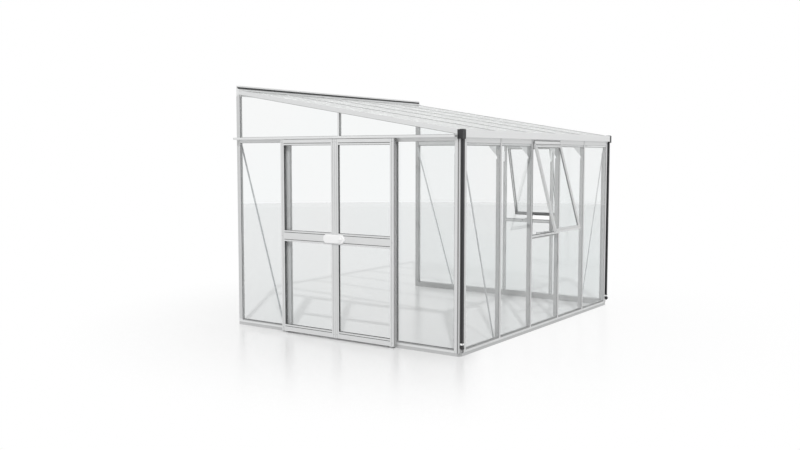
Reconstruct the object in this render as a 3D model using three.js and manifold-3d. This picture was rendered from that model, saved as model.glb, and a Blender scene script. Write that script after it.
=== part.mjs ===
// A lean-to greenhouse: an aluminium frame against a house wall, with glass walls, a twin-wall roof,
// a pair of sliding doors in one gable and two top-hung windows.
// Millimetres, +Z up. The eave side faces -Y, the house wall side +Y and the door gable -X.
import * as THREE from "three";
import { mergeVertices } from "three/addons/utils/BufferGeometryUtils.js";
import Module from "manifold-3d";

const wasm = await Module();
wasm.setup();

// Overall sizes, over the outer faces of the frame
const LENGTH = 3690;
const DEPTH = 2960;
const EAVE_LINE = 2135; // lower edge of the verge at the eave face
const ROOF_RISE = 491;
const RIDGE_LINE = EAVE_LINE + ROOF_RISE; // lower edge of the verge at the house wall
const FRONT_BAYS = 5;
const GABLE_BAYS = 4;
const CORNER_TO_GRID = 88.75; // from an outer corner to the first line of the post grid
const WALL_TO_GRID = 61.25; // from the house wall to the last line of the post grid

// Fits
const CLEARANCE = 0.3; // between pieces that touch
const JOIN = 0.5; // overlap of shapes that become one piece
const OVERRUN = 5; // a cutting shape runs past the surface
const WELD = 0.001; // vertices closer than this are one

// Bars of the frame
const BAR_DEPTH = 45;
const FLANGE_WIDTH = 30;
const FLANGE_THICKNESS = 3;
const WEB_WIDTH = 16;
const GLASS_THICKNESS = 4;
const GLASS_SEAT = FLANGE_THICKNESS + CLEARANCE; // outer face of a fixed pane, behind the flanges

// Base frame
const BASE_BAND = 32; // height of the plain band that stands on the ground
const BASE_TOP = 66;
const BASE_REBATE = 8;
const BASE_LEDGE = BASE_TOP - BASE_REBATE; // the panes stand on this
const BASE_GROOVE = 7.6; // outer face to the back of the glazing groove
const BASE_CORNER_CUT = 42; // the outer corners are cut off this far along each side

// Corner posts
const CORNER_RECESS = 14; // the downpipe stands in a recess this far in from the eave face
const CORNER_RECESS_END = 66; // and the recess ends here along the eave side
const CORNER_SIDE_FLANGE_START = 40;
const CORNER_GROOVE_START = 24; // the groove beside the flange runs from here to the flange
const CORNER_GROOVE_DEPTH = 15;
const CORNER_SIDE_FLANGE_END = 72;
const CORNER_SIDE_END = 65;
const CORNER_FRONT_FLANGE_END = 101;
const CORNER_FRONT_END = 94;

// Wall posts and wall plate
const WALL_POST_WIDTH = 48;
const WALL_FLANGE_FROM_WALL = 22;
const WALL_FLANGE_WIDTH = 33;
const WALL_PLATE_DROP = 26; // below the verge line at the wall
const WALL_PLATE_RISE = 92; // above it
const WALL_PLATE_BOTTOM = RIDGE_LINE - WALL_PLATE_DROP;
const WALL_PLATE_TOP = RIDGE_LINE + WALL_PLATE_RISE;
const WALL_POST_TOP = WALL_PLATE_BOTTOM - CLEARANCE;
const WALL_PLATE_CAP = 16; // height of the cap along its top
const WALL_PLATE_CAP_WIDTH = 37;
const WALL_PLATE_SEAL = 18; // height of the groove for the seal under the cap
const WALL_PLATE_SEAL_BACK = 29; // from the wall to the back of that groove
const WALL_PLATE_SHELF = 20; // the rafters end over this shelf
const WALL_PLATE_SHELF_HEIGHT = 14;
const FLASHING_REACH = 62; // from the wall, down the roof
const FLASHING_THICKNESS = 4;
const FLASHING_GAP = 0.8; // above the rafter caps

// Rails at the eave and across the gables
const RAIL_RISE = 1; // the header's top above the eave line
const RAIL_HEIGHT = 61;
const RAIL_TOP = EAVE_LINE + RAIL_RISE;
const RAIL_BOTTOM = RAIL_TOP - RAIL_HEIGHT;
const RAIL_GROOVE = 8; // the panes reach this far behind a rail's lips
const TOP_BAR_WIDTH = 20; // the bar at the middle of a gable's top pane
const TOP_BAR_SHIFT = 6.5; // from the middle line of the doors to the eave side
const TOP_BAR_WEB = 12;
const GUTTER_DROP = 27; // the gutter's bottom below the eave line
const GUTTER_HEIGHT = 74;
const GUTTER_BOTTOM = EAVE_LINE - GUTTER_DROP;
const GUTTER_TOP = GUTTER_BOTTOM + GUTTER_HEIGHT;
const EAVE_RAIL_HEIGHT = 70; // below the gutter
const EAVE_RAIL_REBATE = 22;
const EAVE_RAIL_BOTTOM = GUTTER_BOTTOM - EAVE_RAIL_HEIGHT;
const GUTTER_OUT = 25; // the gutter's outer wall stands this far in front of the frame
const GUTTER_BACK = 55;
const GUTTER_BACK_HEIGHT = 52;
const GUTTER_BACK_TOP = GUTTER_BOTTOM + GUTTER_BACK_HEIGHT;
const GUTTER_WALL = 3;
const GUTTER_LIP = 6;

// Roof bars and panels, measured square to the slope above the verge's lower edge
const RAFTER_WEB = 14;
const RAFTER_CAP = 50;
const RAFTER_LEDGE = 40;
const RAFTER_LEDGE_HEIGHT = 20;
const RAFTER_LEDGE_THICKNESS = 3;
const PANEL_THICKNESS = 16;
const VERGE_BODY = 30;
const VERGE_CAP = 38;
const VERGE_LEDGE = 46;
const VERGE_POCKET = 8; // the gable's top pane ends this high
const ROOF_START = 46; // the roof pieces begin this far behind the eave face

// Knee plates between the front posts and the rafters
const KNEE_THICKNESS = 3;
const KNEE_HEIGHT = 143; // below the eave rail
const KNEE_FOOT = EAVE_RAIL_BOTTOM - KNEE_HEIGHT;
const KNEE_LAP = 23; // lap on the side of the post's web
const KNEE_REACH = 215;
const KNEE_TIP_RISE = 2; // the slanted edge ends this far above the gutter's bottom
const KNEE_TIP = GUTTER_BOTTOM + KNEE_TIP_RISE;
const KNEE_RISE = 16; // lap on the side of the rafter
const KNEE_BAND = 81; // upright width of the band along the slanted edge
const KNEE_HOLE_START = 58;
const KNEE_HOLE_DROP = 12; // below the gutter's bottom
const KNEE_HOLE_TOP = GUTTER_BOTTOM - KNEE_HOLE_DROP;

// Doors
const JAMB_GRID_SHIFT = 6.25; // the door jambs stand this far outside their grid lines
const JAMB_WIDTH = 60;
const JAMB_FLANGE = 74;
const LEAF_LAP = 40.75; // each leaf laps this far over its jamb's middle line
const LEAF_GAP = 3;
const LEAF_BOTTOM = 20;
const LEAF_OUT = 58; // outer face of the leaves in front of the gable
const LEAF_THICKNESS = 30;
const LEAF_STILE = 45;
const LEAF_TOP_RAIL = 60;
const LEAF_BOTTOM_RAIL = 72;
const LEAF_MID_CENTRE = 1066; // height of the middle rail's middle
const LEAF_MID_HEIGHT = 118;
const LEAF_PANE_INSET = 5; // from the leaf's inner face to the pane
const LEAF_PANE_BACK = LEAF_OUT - LEAF_THICKNESS + LEAF_PANE_INSET;
const LEAF_BEAD = 17; // width of the glazing beads round an opening
const BEAD_GROOVE = 6; // width and depth of the groove along a bead
const PANE_LAP = 8; // a pane's edge is held this deep in its frame
const LEAF_GROOVE_INSET = 11; // from the leaf's outer face to the guide groove
const LEAF_GROOVE_WIDTH = 9;
const LEAF_GROOVE_HEIGHT = 22;

// Door track, rollers and bottom guides
const TRACK_PROUD = 4; // in front of the leaves
const TRACK_OUT = LEAF_OUT + TRACK_PROUD;
const TRACK_DROP = 1.5; // the track's top below the header's top
const TRACK_HEIGHT = 24.5;
const TRACK_TOP = RAIL_TOP - TRACK_DROP;
const TRACK_BOTTOM = TRACK_TOP - TRACK_HEIGHT;
const LEAF_TRACK_GAP = 5;
const LEAF_TOP = TRACK_BOTTOM - LEAF_TRACK_GAP;
const TRACK_WALL = 2;
const TRACK_LIP = 14;
const TRACK_SLOT = 12;
const TRACK_INNER_WALL = 3;
const TRACK_FROM_CORNER = 40;
const TRACK_FROM_WALL = 10;
const ROLLER_RADIUS = 9.5;
const ROLLER_BORE = 3;
const ROLLER_WIDTH = 8;
const ROLLER_INSET = 3.5; // from the track's outer wall to the roller
const ROLLER_OUT = TRACK_OUT - TRACK_WALL - ROLLER_INSET;
const ROLLER_FROM_EDGE = 110;
const HANGER_THICKNESS = 3;
const HANGER_WIDTH = 32;
const HANGER_SINK = 5;
const HANGER_ABOVE_PIN = 5;
const PIN_CLEARANCE = 0.3;
const PIN_END_CLEARANCE = 2.5;
const GUIDE_WIDTH = 40;
const GUIDE_PLATE = 3;
const GUIDE_DROP = 12; // below the leaves
const GUIDE_BOTTOM = LEAF_BOTTOM - GUIDE_DROP;
const GUIDE_TONGUE_LAP = 16; // up in the groove
const GUIDE_STRAP_LAP = 24; // above the base frame
const GUIDE_STRAP_TOP = BASE_TOP + GUIDE_STRAP_LAP;

// Lock
const LOCK_DROP = 1; // below the middle of the middle rail
const LOCK_CENTRE = LEAF_MID_CENTRE - LOCK_DROP;
const LOCK_THICKNESS = 24;
const LOCK_REACH = 144; // from the meeting of the leaves, over the left leaf
const LOCK_CORNER = 40;
const LOCK_END = 46; // radius of the end over the right leaf
const LOCK_HEIGHT = 2 * LOCK_END;
const KNOB_FROM_SEAM = 89; // the knob and the round end share this centre
const KNOB_RADIUS = 23;
const KNOB_THICKNESS = 10;
const KNOB_GRIP_LENGTH = 34;
const KNOB_GRIP_WIDTH = 9;
const KNOB_GRIP_HEIGHT = 6;
const SPINDLE_RADIUS = 6;
const SPINDLE_LENGTH = 15;
const SPINDLE_CLEARANCE = 0.4;

// Windows, in a frame with x along the wall, y inwards and z up
const WINDOW_BAY = 2; // counted from the door gable, or from the corner post, starting at 0
const FAR_WINDOW_BAY = 1;
const WINDOW_OPEN = THREE.MathUtils.degToRad(15);
const SASH_INSET = 21.25; // from the bay's post lines to the sash
const SASH_ABOVE_HINGE = 6;
const SASH_BELOW_HINGE = 985;
const SASH_STILE = 36;
const SASH_TOP_RAIL = 44;
const SASH_BOTTOM_RAIL = 40;
const SASH_BEAD = 14;
const SASH_OUT = 13; // in front of the hinge line
const SASH_IN = 11; // behind the hinge line
const SASH_PANE_OUT = 1; // outer face of the pane, in front of the hinge line
const HINGE_OUT = 13; // the hinge line in front of the frame's outer face
const HINGE_RISE = 20; // above the bottom of the eave rail
const HINGE_HEIGHT = EAVE_RAIL_BOTTOM + HINGE_RISE;
const HINGE_ROD = 3.5;
const HINGE_ROD_CLEARANCE = 0.6;
const HINGE_INSET = 10; // from the sash's sides to the ends of the rod
const HINGE_NECK = 3;
const HINGE_BAR_RISE = 8; // above the hinge line
const HINGE_BAR_HEIGHT = 24;
const HINGE_BAR_BOTTOM = HINGE_HEIGHT + HINGE_BAR_RISE;
const HINGE_BAR_TOP = HINGE_BAR_BOTTOM + HINGE_BAR_HEIGHT;
const HINGE_BAR_THICKNESS = 4;
const HINGE_WEDGE_SHARE = 0.36; // sideways room of the neck, as a share of the height above the rod
const SILL_GAP = 7; // below the closed sash
const SILL_HEIGHT = 39;
const SILL_BODY_DROP = 4;
const SILL_BODY_HEIGHT = 27;
const SILL_NOSE_OUT = 4;
const SILL_NOSE_TOP = HINGE_HEIGHT - SASH_BELOW_HINGE - SILL_GAP;
const SILL_BOTTOM = SILL_NOSE_TOP - SILL_HEIGHT;
const SILL_BODY_TOP = SILL_NOSE_TOP - SILL_BODY_DROP;
const SILL_BODY_BOTTOM = SILL_BODY_TOP - SILL_BODY_HEIGHT;

// Window stays
const STAY_ABOVE_EDGE = 15; // above the sash's lower edge
const STAY_BELOW_HINGE = SASH_BELOW_HINGE - STAY_ABOVE_EDGE;
const STAY_INSET = 9; // behind the sash's inner face
const STAY_BEHIND_HINGE = SASH_IN + STAY_INSET;
const STAY_SIDE = 28; // the stay runs this far to the side of the window's middle
const STAY_WIDTH = 6;
const STAY_HEIGHT = 10;
const STAY_LENGTH = 365;
const STAY_PIN = 2.5;
const STAY_LUG_WIDTH = 4;
const STAY_LUG_HEIGHT = 16;
const STAY_LUG_NOSE = 7;
const STAY_SIDE_GAP = 1;
const FORK_BEHIND = 24;
const FORK_LENGTH = 16;
const FORK_CHEEK = 3;
const FORK_SIDE_GAP = 2.5;
const FORK_HEIGHT = 22; // above the sill's body
const FORK_TOP = SILL_BODY_TOP + FORK_HEIGHT;
const FORK_LINE_DROP = 10; // from the fork's top to the stay's middle line
const FORK_LINE = FORK_TOP - FORK_LINE_DROP;

// Downpipes and their outlet boxes
const BOX_SIDE_OUT = 12;
const BOX_SIDE_IN = 46;
const BOX_FRONT_OUT = 22;
const BOX_BACK = 38;
const BOX_DROP = 14; // below the gutter
const BOX_BOTTOM = GUTTER_BOTTOM - BOX_DROP;
const CORNER_TOP = BOX_BOTTOM - CLEARANCE;
const BOX_WALL = 3;
const LID_HEIGHT = 5;
const LID_EDGE = 12;
const PIPE_SIDE = 25;
const PIPE_FROM_GABLE = 28;
const PIPE_OUT = 1;
const PIPE_END = 141;
const COLLAR_SIDE = 29;
const COLLAR_END = 112;
const SHOE_DROP = 18; // from the collar to the bend
const SHOE_END_DROP = 15.5; // from the bend to the middle of the mouth
const SHOE_REACH = 12; // of the mouth's middle, along each side of the greenhouse

// Braces
const BRACE_WIDTH = 22;
const BRACE_THICKNESS = 3;
const BRACE_RISE = 12; // above the bottom of the eave rail
const BRACE_TOP = EAVE_RAIL_BOTTOM + BRACE_RISE;
const BRACE_DROP = 18; // below the top of the base frame
const BRACE_BOTTOM = BASE_TOP - BRACE_DROP;
const BRACE_TOP_FROM_CORNER = 80;
const BRACE_TOP_FROM_WALL = 33;
const BRACE_FOOT_FROM_POST = 45; // short of the web of the next post
const JAMB_BRACE_FOOT = 72; // short of the last jamb's web

// Facets
const ROD_FACETS = 12;
const ROLLER_FACETS = 16;
const KNOB_FACETS = 40;
const CORNER_FACETS = 6; // of a quarter turn
const SHOE_STEPS = 6;

// Worked out from the sizes above
const FRONT_BAY = (LENGTH - 2 * CORNER_TO_GRID) / FRONT_BAYS;
const GABLE_BAY = (DEPTH - CORNER_TO_GRID - WALL_TO_GRID) / GABLE_BAYS;
const ROOF_TURN = Math.atan2(RIDGE_LINE - EAVE_LINE, DEPTH);
const ROOF_SLOPE = Math.tan(ROOF_TURN);
const WALL_POST_START = DEPTH - WALL_POST_WIDTH;
const WALL_FLANGE_END = DEPTH - WALL_FLANGE_FROM_WALL;
const WALL_FLANGE_START = WALL_FLANGE_END - WALL_FLANGE_WIDTH;
const DOOR_CENTRE = gableGrid(2);
const JAMBS = [gableGrid(1) - JAMB_GRID_SHIFT, gableGrid(3) + JAMB_GRID_SHIFT];
const LEAF_WIDTH = (JAMBS[1] - JAMBS[0] + 2 * LEAF_LAP - LEAF_GAP) / 2;

function frontGrid(i) {
  return CORNER_TO_GRID + i * FRONT_BAY;
}

function gableGrid(i) {
  return CORNER_TO_GRID + i * GABLE_BAY;
}

// Height of a line parallel to the roof that lies `above` the verge's lower edge, square to the slope
function roofHeight(y, above) {
  return EAVE_LINE + y * ROOF_SLOPE + above / Math.cos(ROOF_TURN);
}

const aluminium = surface(0xd4d6d8, 0.42, 0.85);
const glass = surface(0xdfe9ea, 0.06, 0);
glass.transparent = true;
glass.opacity = 0.3;
const twinWall = surface(0xe6ecec, 0.3, 0);
twinWall.transparent = true;
twinWall.opacity = 0.7;
const blackPlastic = surface(0x26282a, 0.5, 0);
const whitePlastic = surface(0xf3f4f4, 0.4, 0);
const nylon = surface(0xe8e6de, 0.55, 0);
const steel = surface(0xb6babd, 0.45, 0.8);

function surface(color, roughness, metalness) {
  return new THREE.MeshStandardMaterial({ color, roughness, metalness, flatShading: true });
}

const greenhouse = new THREE.Group();

function add(name, geometry, material, parent = greenhouse) {
  const mesh = new THREE.Mesh(geometry, material);
  mesh.name = name;
  parent.add(mesh);
  return mesh;
}

// A box between two corners, whose values may come in either order
function block(x0, x1, y0, y1, z0, z1) {
  const box = new THREE.BoxGeometry(Math.abs(x1 - x0), Math.abs(y1 - y0), Math.abs(z1 - z0));
  return box.translate((x0 + x1) / 2, (y0 + y1) / 2, (z0 + z1) / 2);
}

// An outline of [y, z] points pushed along x, of [x, z] points along y, or of [x, y] points along z
function prism(axis, outline, from, to, holes = []) {
  const point = ([a, b]) => (axis === "y" ? new THREE.Vector2(b, a) : new THREE.Vector2(a, b));
  const points = outline.map(point);
  if (THREE.ShapeUtils.isClockWise(points)) points.reverse();
  const shape = new THREE.Shape(points);
  shape.holes = holes.map((hole) => new THREE.Path(hole.map(point)));
  const depth = Math.abs(to - from);
  const geometry = new THREE.ExtrudeGeometry(shape, { depth, bevelEnabled: false });
  geometry.translate(0, 0, Math.min(from, to));
  const [x, y, z] = [new THREE.Vector3(1, 0, 0), new THREE.Vector3(0, 1, 0), new THREE.Vector3(0, 0, 1)];
  const turn = new THREE.Matrix4();
  if (axis === "x") turn.makeBasis(y, z, x);
  if (axis === "y") turn.makeBasis(z, x, y);
  return geometry.applyMatrix4(turn);
}

// A round bar along x, y or z, centred on a point
function rod(axis, radius, length, [x, y, z], facets = ROD_FACETS) {
  const geometry = new THREE.CylinderGeometry(radius, radius, length, facets);
  if (axis === "x") geometry.rotateZ(Math.PI / 2);
  if (axis === "z") geometry.rotateX(Math.PI / 2);
  return geometry.translate(x, y, z);
}

function toSolid(geometry) {
  const bare = new THREE.BufferGeometry();
  bare.setAttribute("position", geometry.getAttribute("position"));
  bare.setIndex(geometry.index);
  const merged = mergeVertices(bare, WELD);
  const vertProperties = merged.getAttribute("position").array;
  const triVerts = new Uint32Array(merged.index.array);
  return new wasm.Manifold(new wasm.Mesh({ numProp: 3, vertProperties, triVerts }));
}

function toGeometry(solid) {
  const mesh = solid.getMesh();
  const geometry = new THREE.BufferGeometry();
  geometry.setAttribute("position", new THREE.BufferAttribute(mesh.vertProperties, 3));
  geometry.setIndex(new THREE.BufferAttribute(mesh.triVerts, 1));
  const facets = geometry.toNonIndexed();
  facets.computeVertexNormals();
  return facets;
}

function join(...geometries) {
  return toGeometry(geometries.map(toSolid).reduce((whole, piece) => whole.add(piece)));
}

function cut(geometry, ...tools) {
  return toGeometry(tools.map(toSolid).reduce((whole, tool) => whole.subtract(tool), toSolid(geometry)));
}

// A rectangle's corners in a plane
function rectangle(a0, a1, b0, b1) {
  return [[a0, b0], [a1, b0], [a1, b1], [a0, b1]];
}

// A rectangle made larger on each side
function grown([[a0, b0], , [a1, b1]], edge) {
  return rectangle(a0 - edge, a1 + edge, b0 - edge, b1 + edge);
}

// The two gables are built alike: `at` gives the x of a depth inwards from the gable's outer face
const doorGable = { name: "door_gable", end: "door_end", at: (depth) => depth };
const farGable = { name: "far_gable", end: "far_end", at: (depth) => LENGTH - depth };
const gables = [doorGable, farGable];

function gableOutline(gable, outline) {
  return outline.map(([depth, other]) => [gable.at(depth), other]);
}

// The base frame has three sides, with mitred corners, and is open towards the house wall
function baseFrame() {
  const section = [
    [FLANGE_THICKNESS, 0], [BAR_DEPTH, 0], [BAR_DEPTH, BASE_TOP], [BASE_GROOVE, BASE_TOP],
    [BASE_GROOVE, BASE_LEDGE], [FLANGE_THICKNESS, BASE_LEDGE], [FLANGE_THICKNESS, BASE_TOP],
    [0, BASE_TOP], [0, BASE_BAND], [FLANGE_THICKNESS, BASE_BAND],
  ];
  const rings = [
    section.map(([d, z]) => [d, DEPTH, z]),
    section.map(([d, z]) => [d, d, z]),
    section.map(([d, z]) => [LENGTH - d, d, z]),
    section.map(([d, z]) => [LENGTH - d, DEPTH, z]),
  ];
  const sides = [doorGable, farGable].map((gable) =>
    block(
      gable.at(-OVERRUN), gable.at(CORNER_FRONT_FLANGE_END + CLEARANCE),
      -OVERRUN, CORNER_SIDE_FLANGE_END + CLEARANCE,
      BASE_BAND, BASE_TOP + OVERRUN,
    ),
  );
  const reach = BASE_CORNER_CUT + OVERRUN;
  const corners = [doorGable, farGable].map((gable) =>
    prism(
      "z",
      gableOutline(gable, [[-OVERRUN, -OVERRUN], [reach, -OVERRUN], [-OVERRUN, reach]]),
      -OVERRUN, BASE_TOP + OVERRUN,
    ),
  );
  return cut(loft(rings, section), ...sides, ...corners);
}

// Joins rings of points, one after another, and closes the two ends
function loft(rings, section) {
  const count = section.length;
  const caps = THREE.ShapeUtils.triangulateShape(section.map(([a, b]) => new THREE.Vector2(a, b)), []);
  const index = [];
  for (let ring = 0; ring + 1 < rings.length; ring++) {
    for (let i = 0; i < count; i++) {
      const [a, b] = [ring * count + i, ring * count + ((i + 1) % count)];
      index.push(a, b, a + count, b, b + count, a + count);
    }
  }
  const last = (rings.length - 1) * count;
  caps.forEach(([a, b, c]) => index.push(a, c, b, last + a, last + b, last + c));
  const geometry = new THREE.BufferGeometry();
  geometry.setAttribute("position", new THREE.Float32BufferAttribute(rings.flat(2), 3));
  geometry.setIndex(index);
  return geometry;
}

// The corner post leaves a recess on its outer corner for the downpipe
function cornerPost(gable) {
  const outline = [
    [0, CORNER_SIDE_FLANGE_START], [0, CORNER_SIDE_FLANGE_END],
    [FLANGE_THICKNESS, CORNER_SIDE_FLANGE_END], [FLANGE_THICKNESS, CORNER_SIDE_END],
    [BAR_DEPTH, CORNER_SIDE_END], [BAR_DEPTH, BAR_DEPTH],
    [CORNER_FRONT_END, BAR_DEPTH], [CORNER_FRONT_END, FLANGE_THICKNESS],
    [CORNER_FRONT_FLANGE_END, FLANGE_THICKNESS], [CORNER_FRONT_FLANGE_END, 0],
    [CORNER_RECESS_END, 0], [CORNER_RECESS_END, CORNER_RECESS],
    [FLANGE_THICKNESS, CORNER_RECESS], [FLANGE_THICKNESS, CORNER_GROOVE_START],
    [CORNER_GROOVE_DEPTH, CORNER_GROOVE_START], [CORNER_GROOVE_DEPTH, CORNER_SIDE_FLANGE_START],
  ];
  return prism("z", gableOutline(gable, outline), BASE_BAND + CLEARANCE, CORNER_TOP);
}

function wallPost(gable) {
  const outline = [
    [0, WALL_FLANGE_START], [FLANGE_THICKNESS, WALL_FLANGE_START], [FLANGE_THICKNESS, WALL_POST_START],
    [BAR_DEPTH, WALL_POST_START], [BAR_DEPTH, DEPTH], [FLANGE_THICKNESS, DEPTH],
    [FLANGE_THICKNESS, WALL_FLANGE_END], [0, WALL_FLANGE_END],
  ];
  const flange = block(
    gable.at(0), gable.at(FLANGE_THICKNESS),
    WALL_FLANGE_START, WALL_FLANGE_END,
    WALL_POST_TOP - JOIN, roofHeight(WALL_FLANGE_START, -CLEARANCE),
  );
  return join(prism("z", gableOutline(gable, outline), BASE_TOP + CLEARANCE, WALL_POST_TOP), flange);
}

// A front post with the knee plate that ties it to its rafter
function frontPost(x) {
  const half = FLANGE_WIDTH / 2;
  const foot = BASE_TOP + CLEARANCE;
  const flange = block(x - half, x + half, 0, FLANGE_THICKNESS, foot, GUTTER_BOTTOM - CLEARANCE);
  const web = block(
    x - WEB_WIDTH / 2, x + WEB_WIDTH / 2,
    FLANGE_THICKNESS - JOIN, BAR_DEPTH,
    foot, EAVE_RAIL_BOTTOM - CLEARANCE,
  );
  return join(flange, web, kneePlate(x));
}

function kneePlate(x) {
  const inner = x - RAFTER_WEB / 2 - CLEARANCE;
  const lapStart = BAR_DEPTH - KNEE_LAP;
  const clear = GUTTER_BACK + CLEARANCE;
  const railClear = EAVE_RAIL_BOTTOM - CLEARANCE;
  const behindRail = BAR_DEPTH + CLEARANCE;
  const gutterClear = GUTTER_BOTTOM - CLEARANCE;
  const outline = [
    [lapStart, KNEE_FOOT],
    [KNEE_REACH, KNEE_TIP],
    [KNEE_REACH, roofHeight(KNEE_REACH, KNEE_RISE)],
    [clear, roofHeight(clear, KNEE_RISE)],
    [clear, gutterClear],
    [behindRail, gutterClear],
    [behindRail, railClear],
    [lapStart, railClear],
  ];
  const slope = (KNEE_TIP - KNEE_FOOT) / (KNEE_REACH - lapStart);
  const holeFoot = KNEE_FOOT + KNEE_BAND + slope * (KNEE_HOLE_START - lapStart);
  const hole = [
    [KNEE_HOLE_START, holeFoot],
    [KNEE_HOLE_START + (KNEE_HOLE_TOP - holeFoot) / slope, KNEE_HOLE_TOP],
    [KNEE_HOLE_START, KNEE_HOLE_TOP],
  ];
  return prism("x", outline, inner - KNEE_THICKNESS, inner, [hole]);
}

// The header across a gable, with lips for the panes below and above it
function gableRail(gable) {
  const section = [
    [0, RAIL_BOTTOM], [0, RAIL_TOP], [FLANGE_THICKNESS, RAIL_TOP],
    [FLANGE_THICKNESS, RAIL_TOP - RAIL_GROOVE], [BAR_DEPTH, RAIL_TOP - RAIL_GROOVE],
    [BAR_DEPTH, RAIL_BOTTOM + RAIL_GROOVE], [FLANGE_THICKNESS, RAIL_BOTTOM + RAIL_GROOVE],
    [FLANGE_THICKNESS, RAIL_BOTTOM],
  ];
  const start = CORNER_SIDE_FLANGE_END + CLEARANCE;
  const rail = prism("y", gableOutline(gable, section), start, WALL_FLANGE_START - CLEARANCE);
  const overPost = block(
    gable.at(0), gable.at(BAR_DEPTH),
    BOX_BACK + CLEARANCE, start + JOIN,
    CORNER_TOP + CLEARANCE, RAIL_TOP,
  );
  return join(rail, overPost);
}

function gablePost(gable, y, flangeWidth, webWidth) {
  const foot = BASE_TOP + CLEARANCE;
  const top = RAIL_BOTTOM + RAIL_GROOVE + JOIN;
  const half = flangeWidth / 2;
  return join(
    block(gable.at(0), gable.at(FLANGE_THICKNESS), y - half, y + half, foot, RAIL_BOTTOM + JOIN),
    block(
      gable.at(FLANGE_THICKNESS - JOIN), gable.at(BAR_DEPTH),
      y - webWidth / 2, y + webWidth / 2,
      foot, top,
    ),
  );
}

// The bar at the middle of the gable's top pane: a strip in front of the glass and a web behind it
function topMullion(gable) {
  const y = gableGrid(2) - TOP_BAR_SHIFT;
  const half = TOP_BAR_WIDTH / 2;
  const halfWeb = TOP_BAR_WEB / 2;
  const top = roofHeight(y - half, -CLEARANCE);
  const webTop = roofHeight(y - halfWeb, VERGE_POCKET - CLEARANCE);
  return [
    block(gable.at(0), gable.at(FLANGE_THICKNESS), y - half, y + half, RAIL_TOP - JOIN, top),
    block(
      gable.at(BASE_GROOVE), gable.at(BAR_DEPTH),
      y - halfWeb, y + halfWeb,
      RAIL_TOP - RAIL_GROOVE - JOIN, webTop,
    ),
  ];
}

// The channel in front of the header in which the door rollers run
function doorTrack() {
  const slotOut = TRACK_OUT - TRACK_WALL - TRACK_LIP;
  const section = [
    [-TRACK_OUT, TRACK_BOTTOM], [-TRACK_OUT, TRACK_TOP], [-CLEARANCE, TRACK_TOP],
    [-CLEARANCE, TRACK_BOTTOM], [-slotOut + TRACK_SLOT, TRACK_BOTTOM],
    [-slotOut + TRACK_SLOT, TRACK_BOTTOM + TRACK_WALL],
    [-TRACK_INNER_WALL, TRACK_BOTTOM + TRACK_WALL], [-TRACK_INNER_WALL, TRACK_TOP - TRACK_WALL],
    [-TRACK_OUT + TRACK_WALL, TRACK_TOP - TRACK_WALL],
    [-TRACK_OUT + TRACK_WALL, TRACK_BOTTOM + TRACK_WALL],
    [-slotOut, TRACK_BOTTOM + TRACK_WALL], [-slotOut, TRACK_BOTTOM],
  ];
  const seam = block(
    -TRACK_INNER_WALL, JOIN,
    CORNER_SIDE_FLANGE_END + OVERRUN, WALL_FLANGE_START - OVERRUN,
    TRACK_BOTTOM + TRACK_WALL, TRACK_TOP - TRACK_WALL,
  );
  return join(prism("y", section, TRACK_FROM_CORNER, DEPTH - TRACK_FROM_WALL), seam);
}

// A foot on a jamb whose tongue runs in the groove under the leaves
function bottomGuide(y) {
  const half = GUIDE_WIDTH / 2;
  const back = -CLEARANCE - GUIDE_PLATE;
  const tongue = -LEAF_OUT + LEAF_GROOVE_INSET + (LEAF_GROOVE_WIDTH - GUIDE_PLATE) / 2;
  return join(
    block(back, -CLEARANCE, y - half, y + half, GUIDE_BOTTOM, GUIDE_STRAP_TOP),
    block(back, JOIN, y - half, y + half, BASE_TOP + OVERRUN, GUIDE_STRAP_TOP),
    block(tongue, -CLEARANCE, y - half, y + half, GUIDE_BOTTOM, GUIDE_BOTTOM + GUIDE_PLATE),
    block(tongue, tongue + GUIDE_PLATE, y - half, y + half, GUIDE_BOTTOM, LEAF_BOTTOM + GUIDE_TONGUE_LAP),
  );
}

function doorFrame() {
  const jambs = JAMBS.map((y) => gablePost(doorGable, y, JAMB_FLANGE, JAMB_WIDTH));
  const guides = JAMBS.map(bottomGuide);
  return join(gableRail(doorGable), ...topMullion(doorGable), doorTrack(), ...jambs, ...guides);
}

// The window's place in the far gable: x along the wall becomes +Y, and outwards becomes +X
function toFarGable(geometry) {
  const centre = (gableGrid(FAR_WINDOW_BAY) + gableGrid(FAR_WINDOW_BAY + 1)) / 2;
  return geometry.clone().rotateZ(Math.PI / 2).translate(LENGTH, centre, 0);
}

function toFront(geometry) {
  return geometry.clone().translate((frontGrid(WINDOW_BAY) + frontGrid(WINDOW_BAY + 1)) / 2, 0, 0);
}

function farGableFrame() {
  const posts = [1, 2, 3].map((i) => gablePost(farGable, gableGrid(i), FLANGE_WIDTH, WEB_WIDTH));
  const sill = toFarGable(windowSill(GABLE_BAY, JOIN));
  const hook = toFarGable(windowHook(GABLE_BAY));
  return join(gableRail(farGable), ...topMullion(farGable), ...posts, sill, hook);
}

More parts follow.
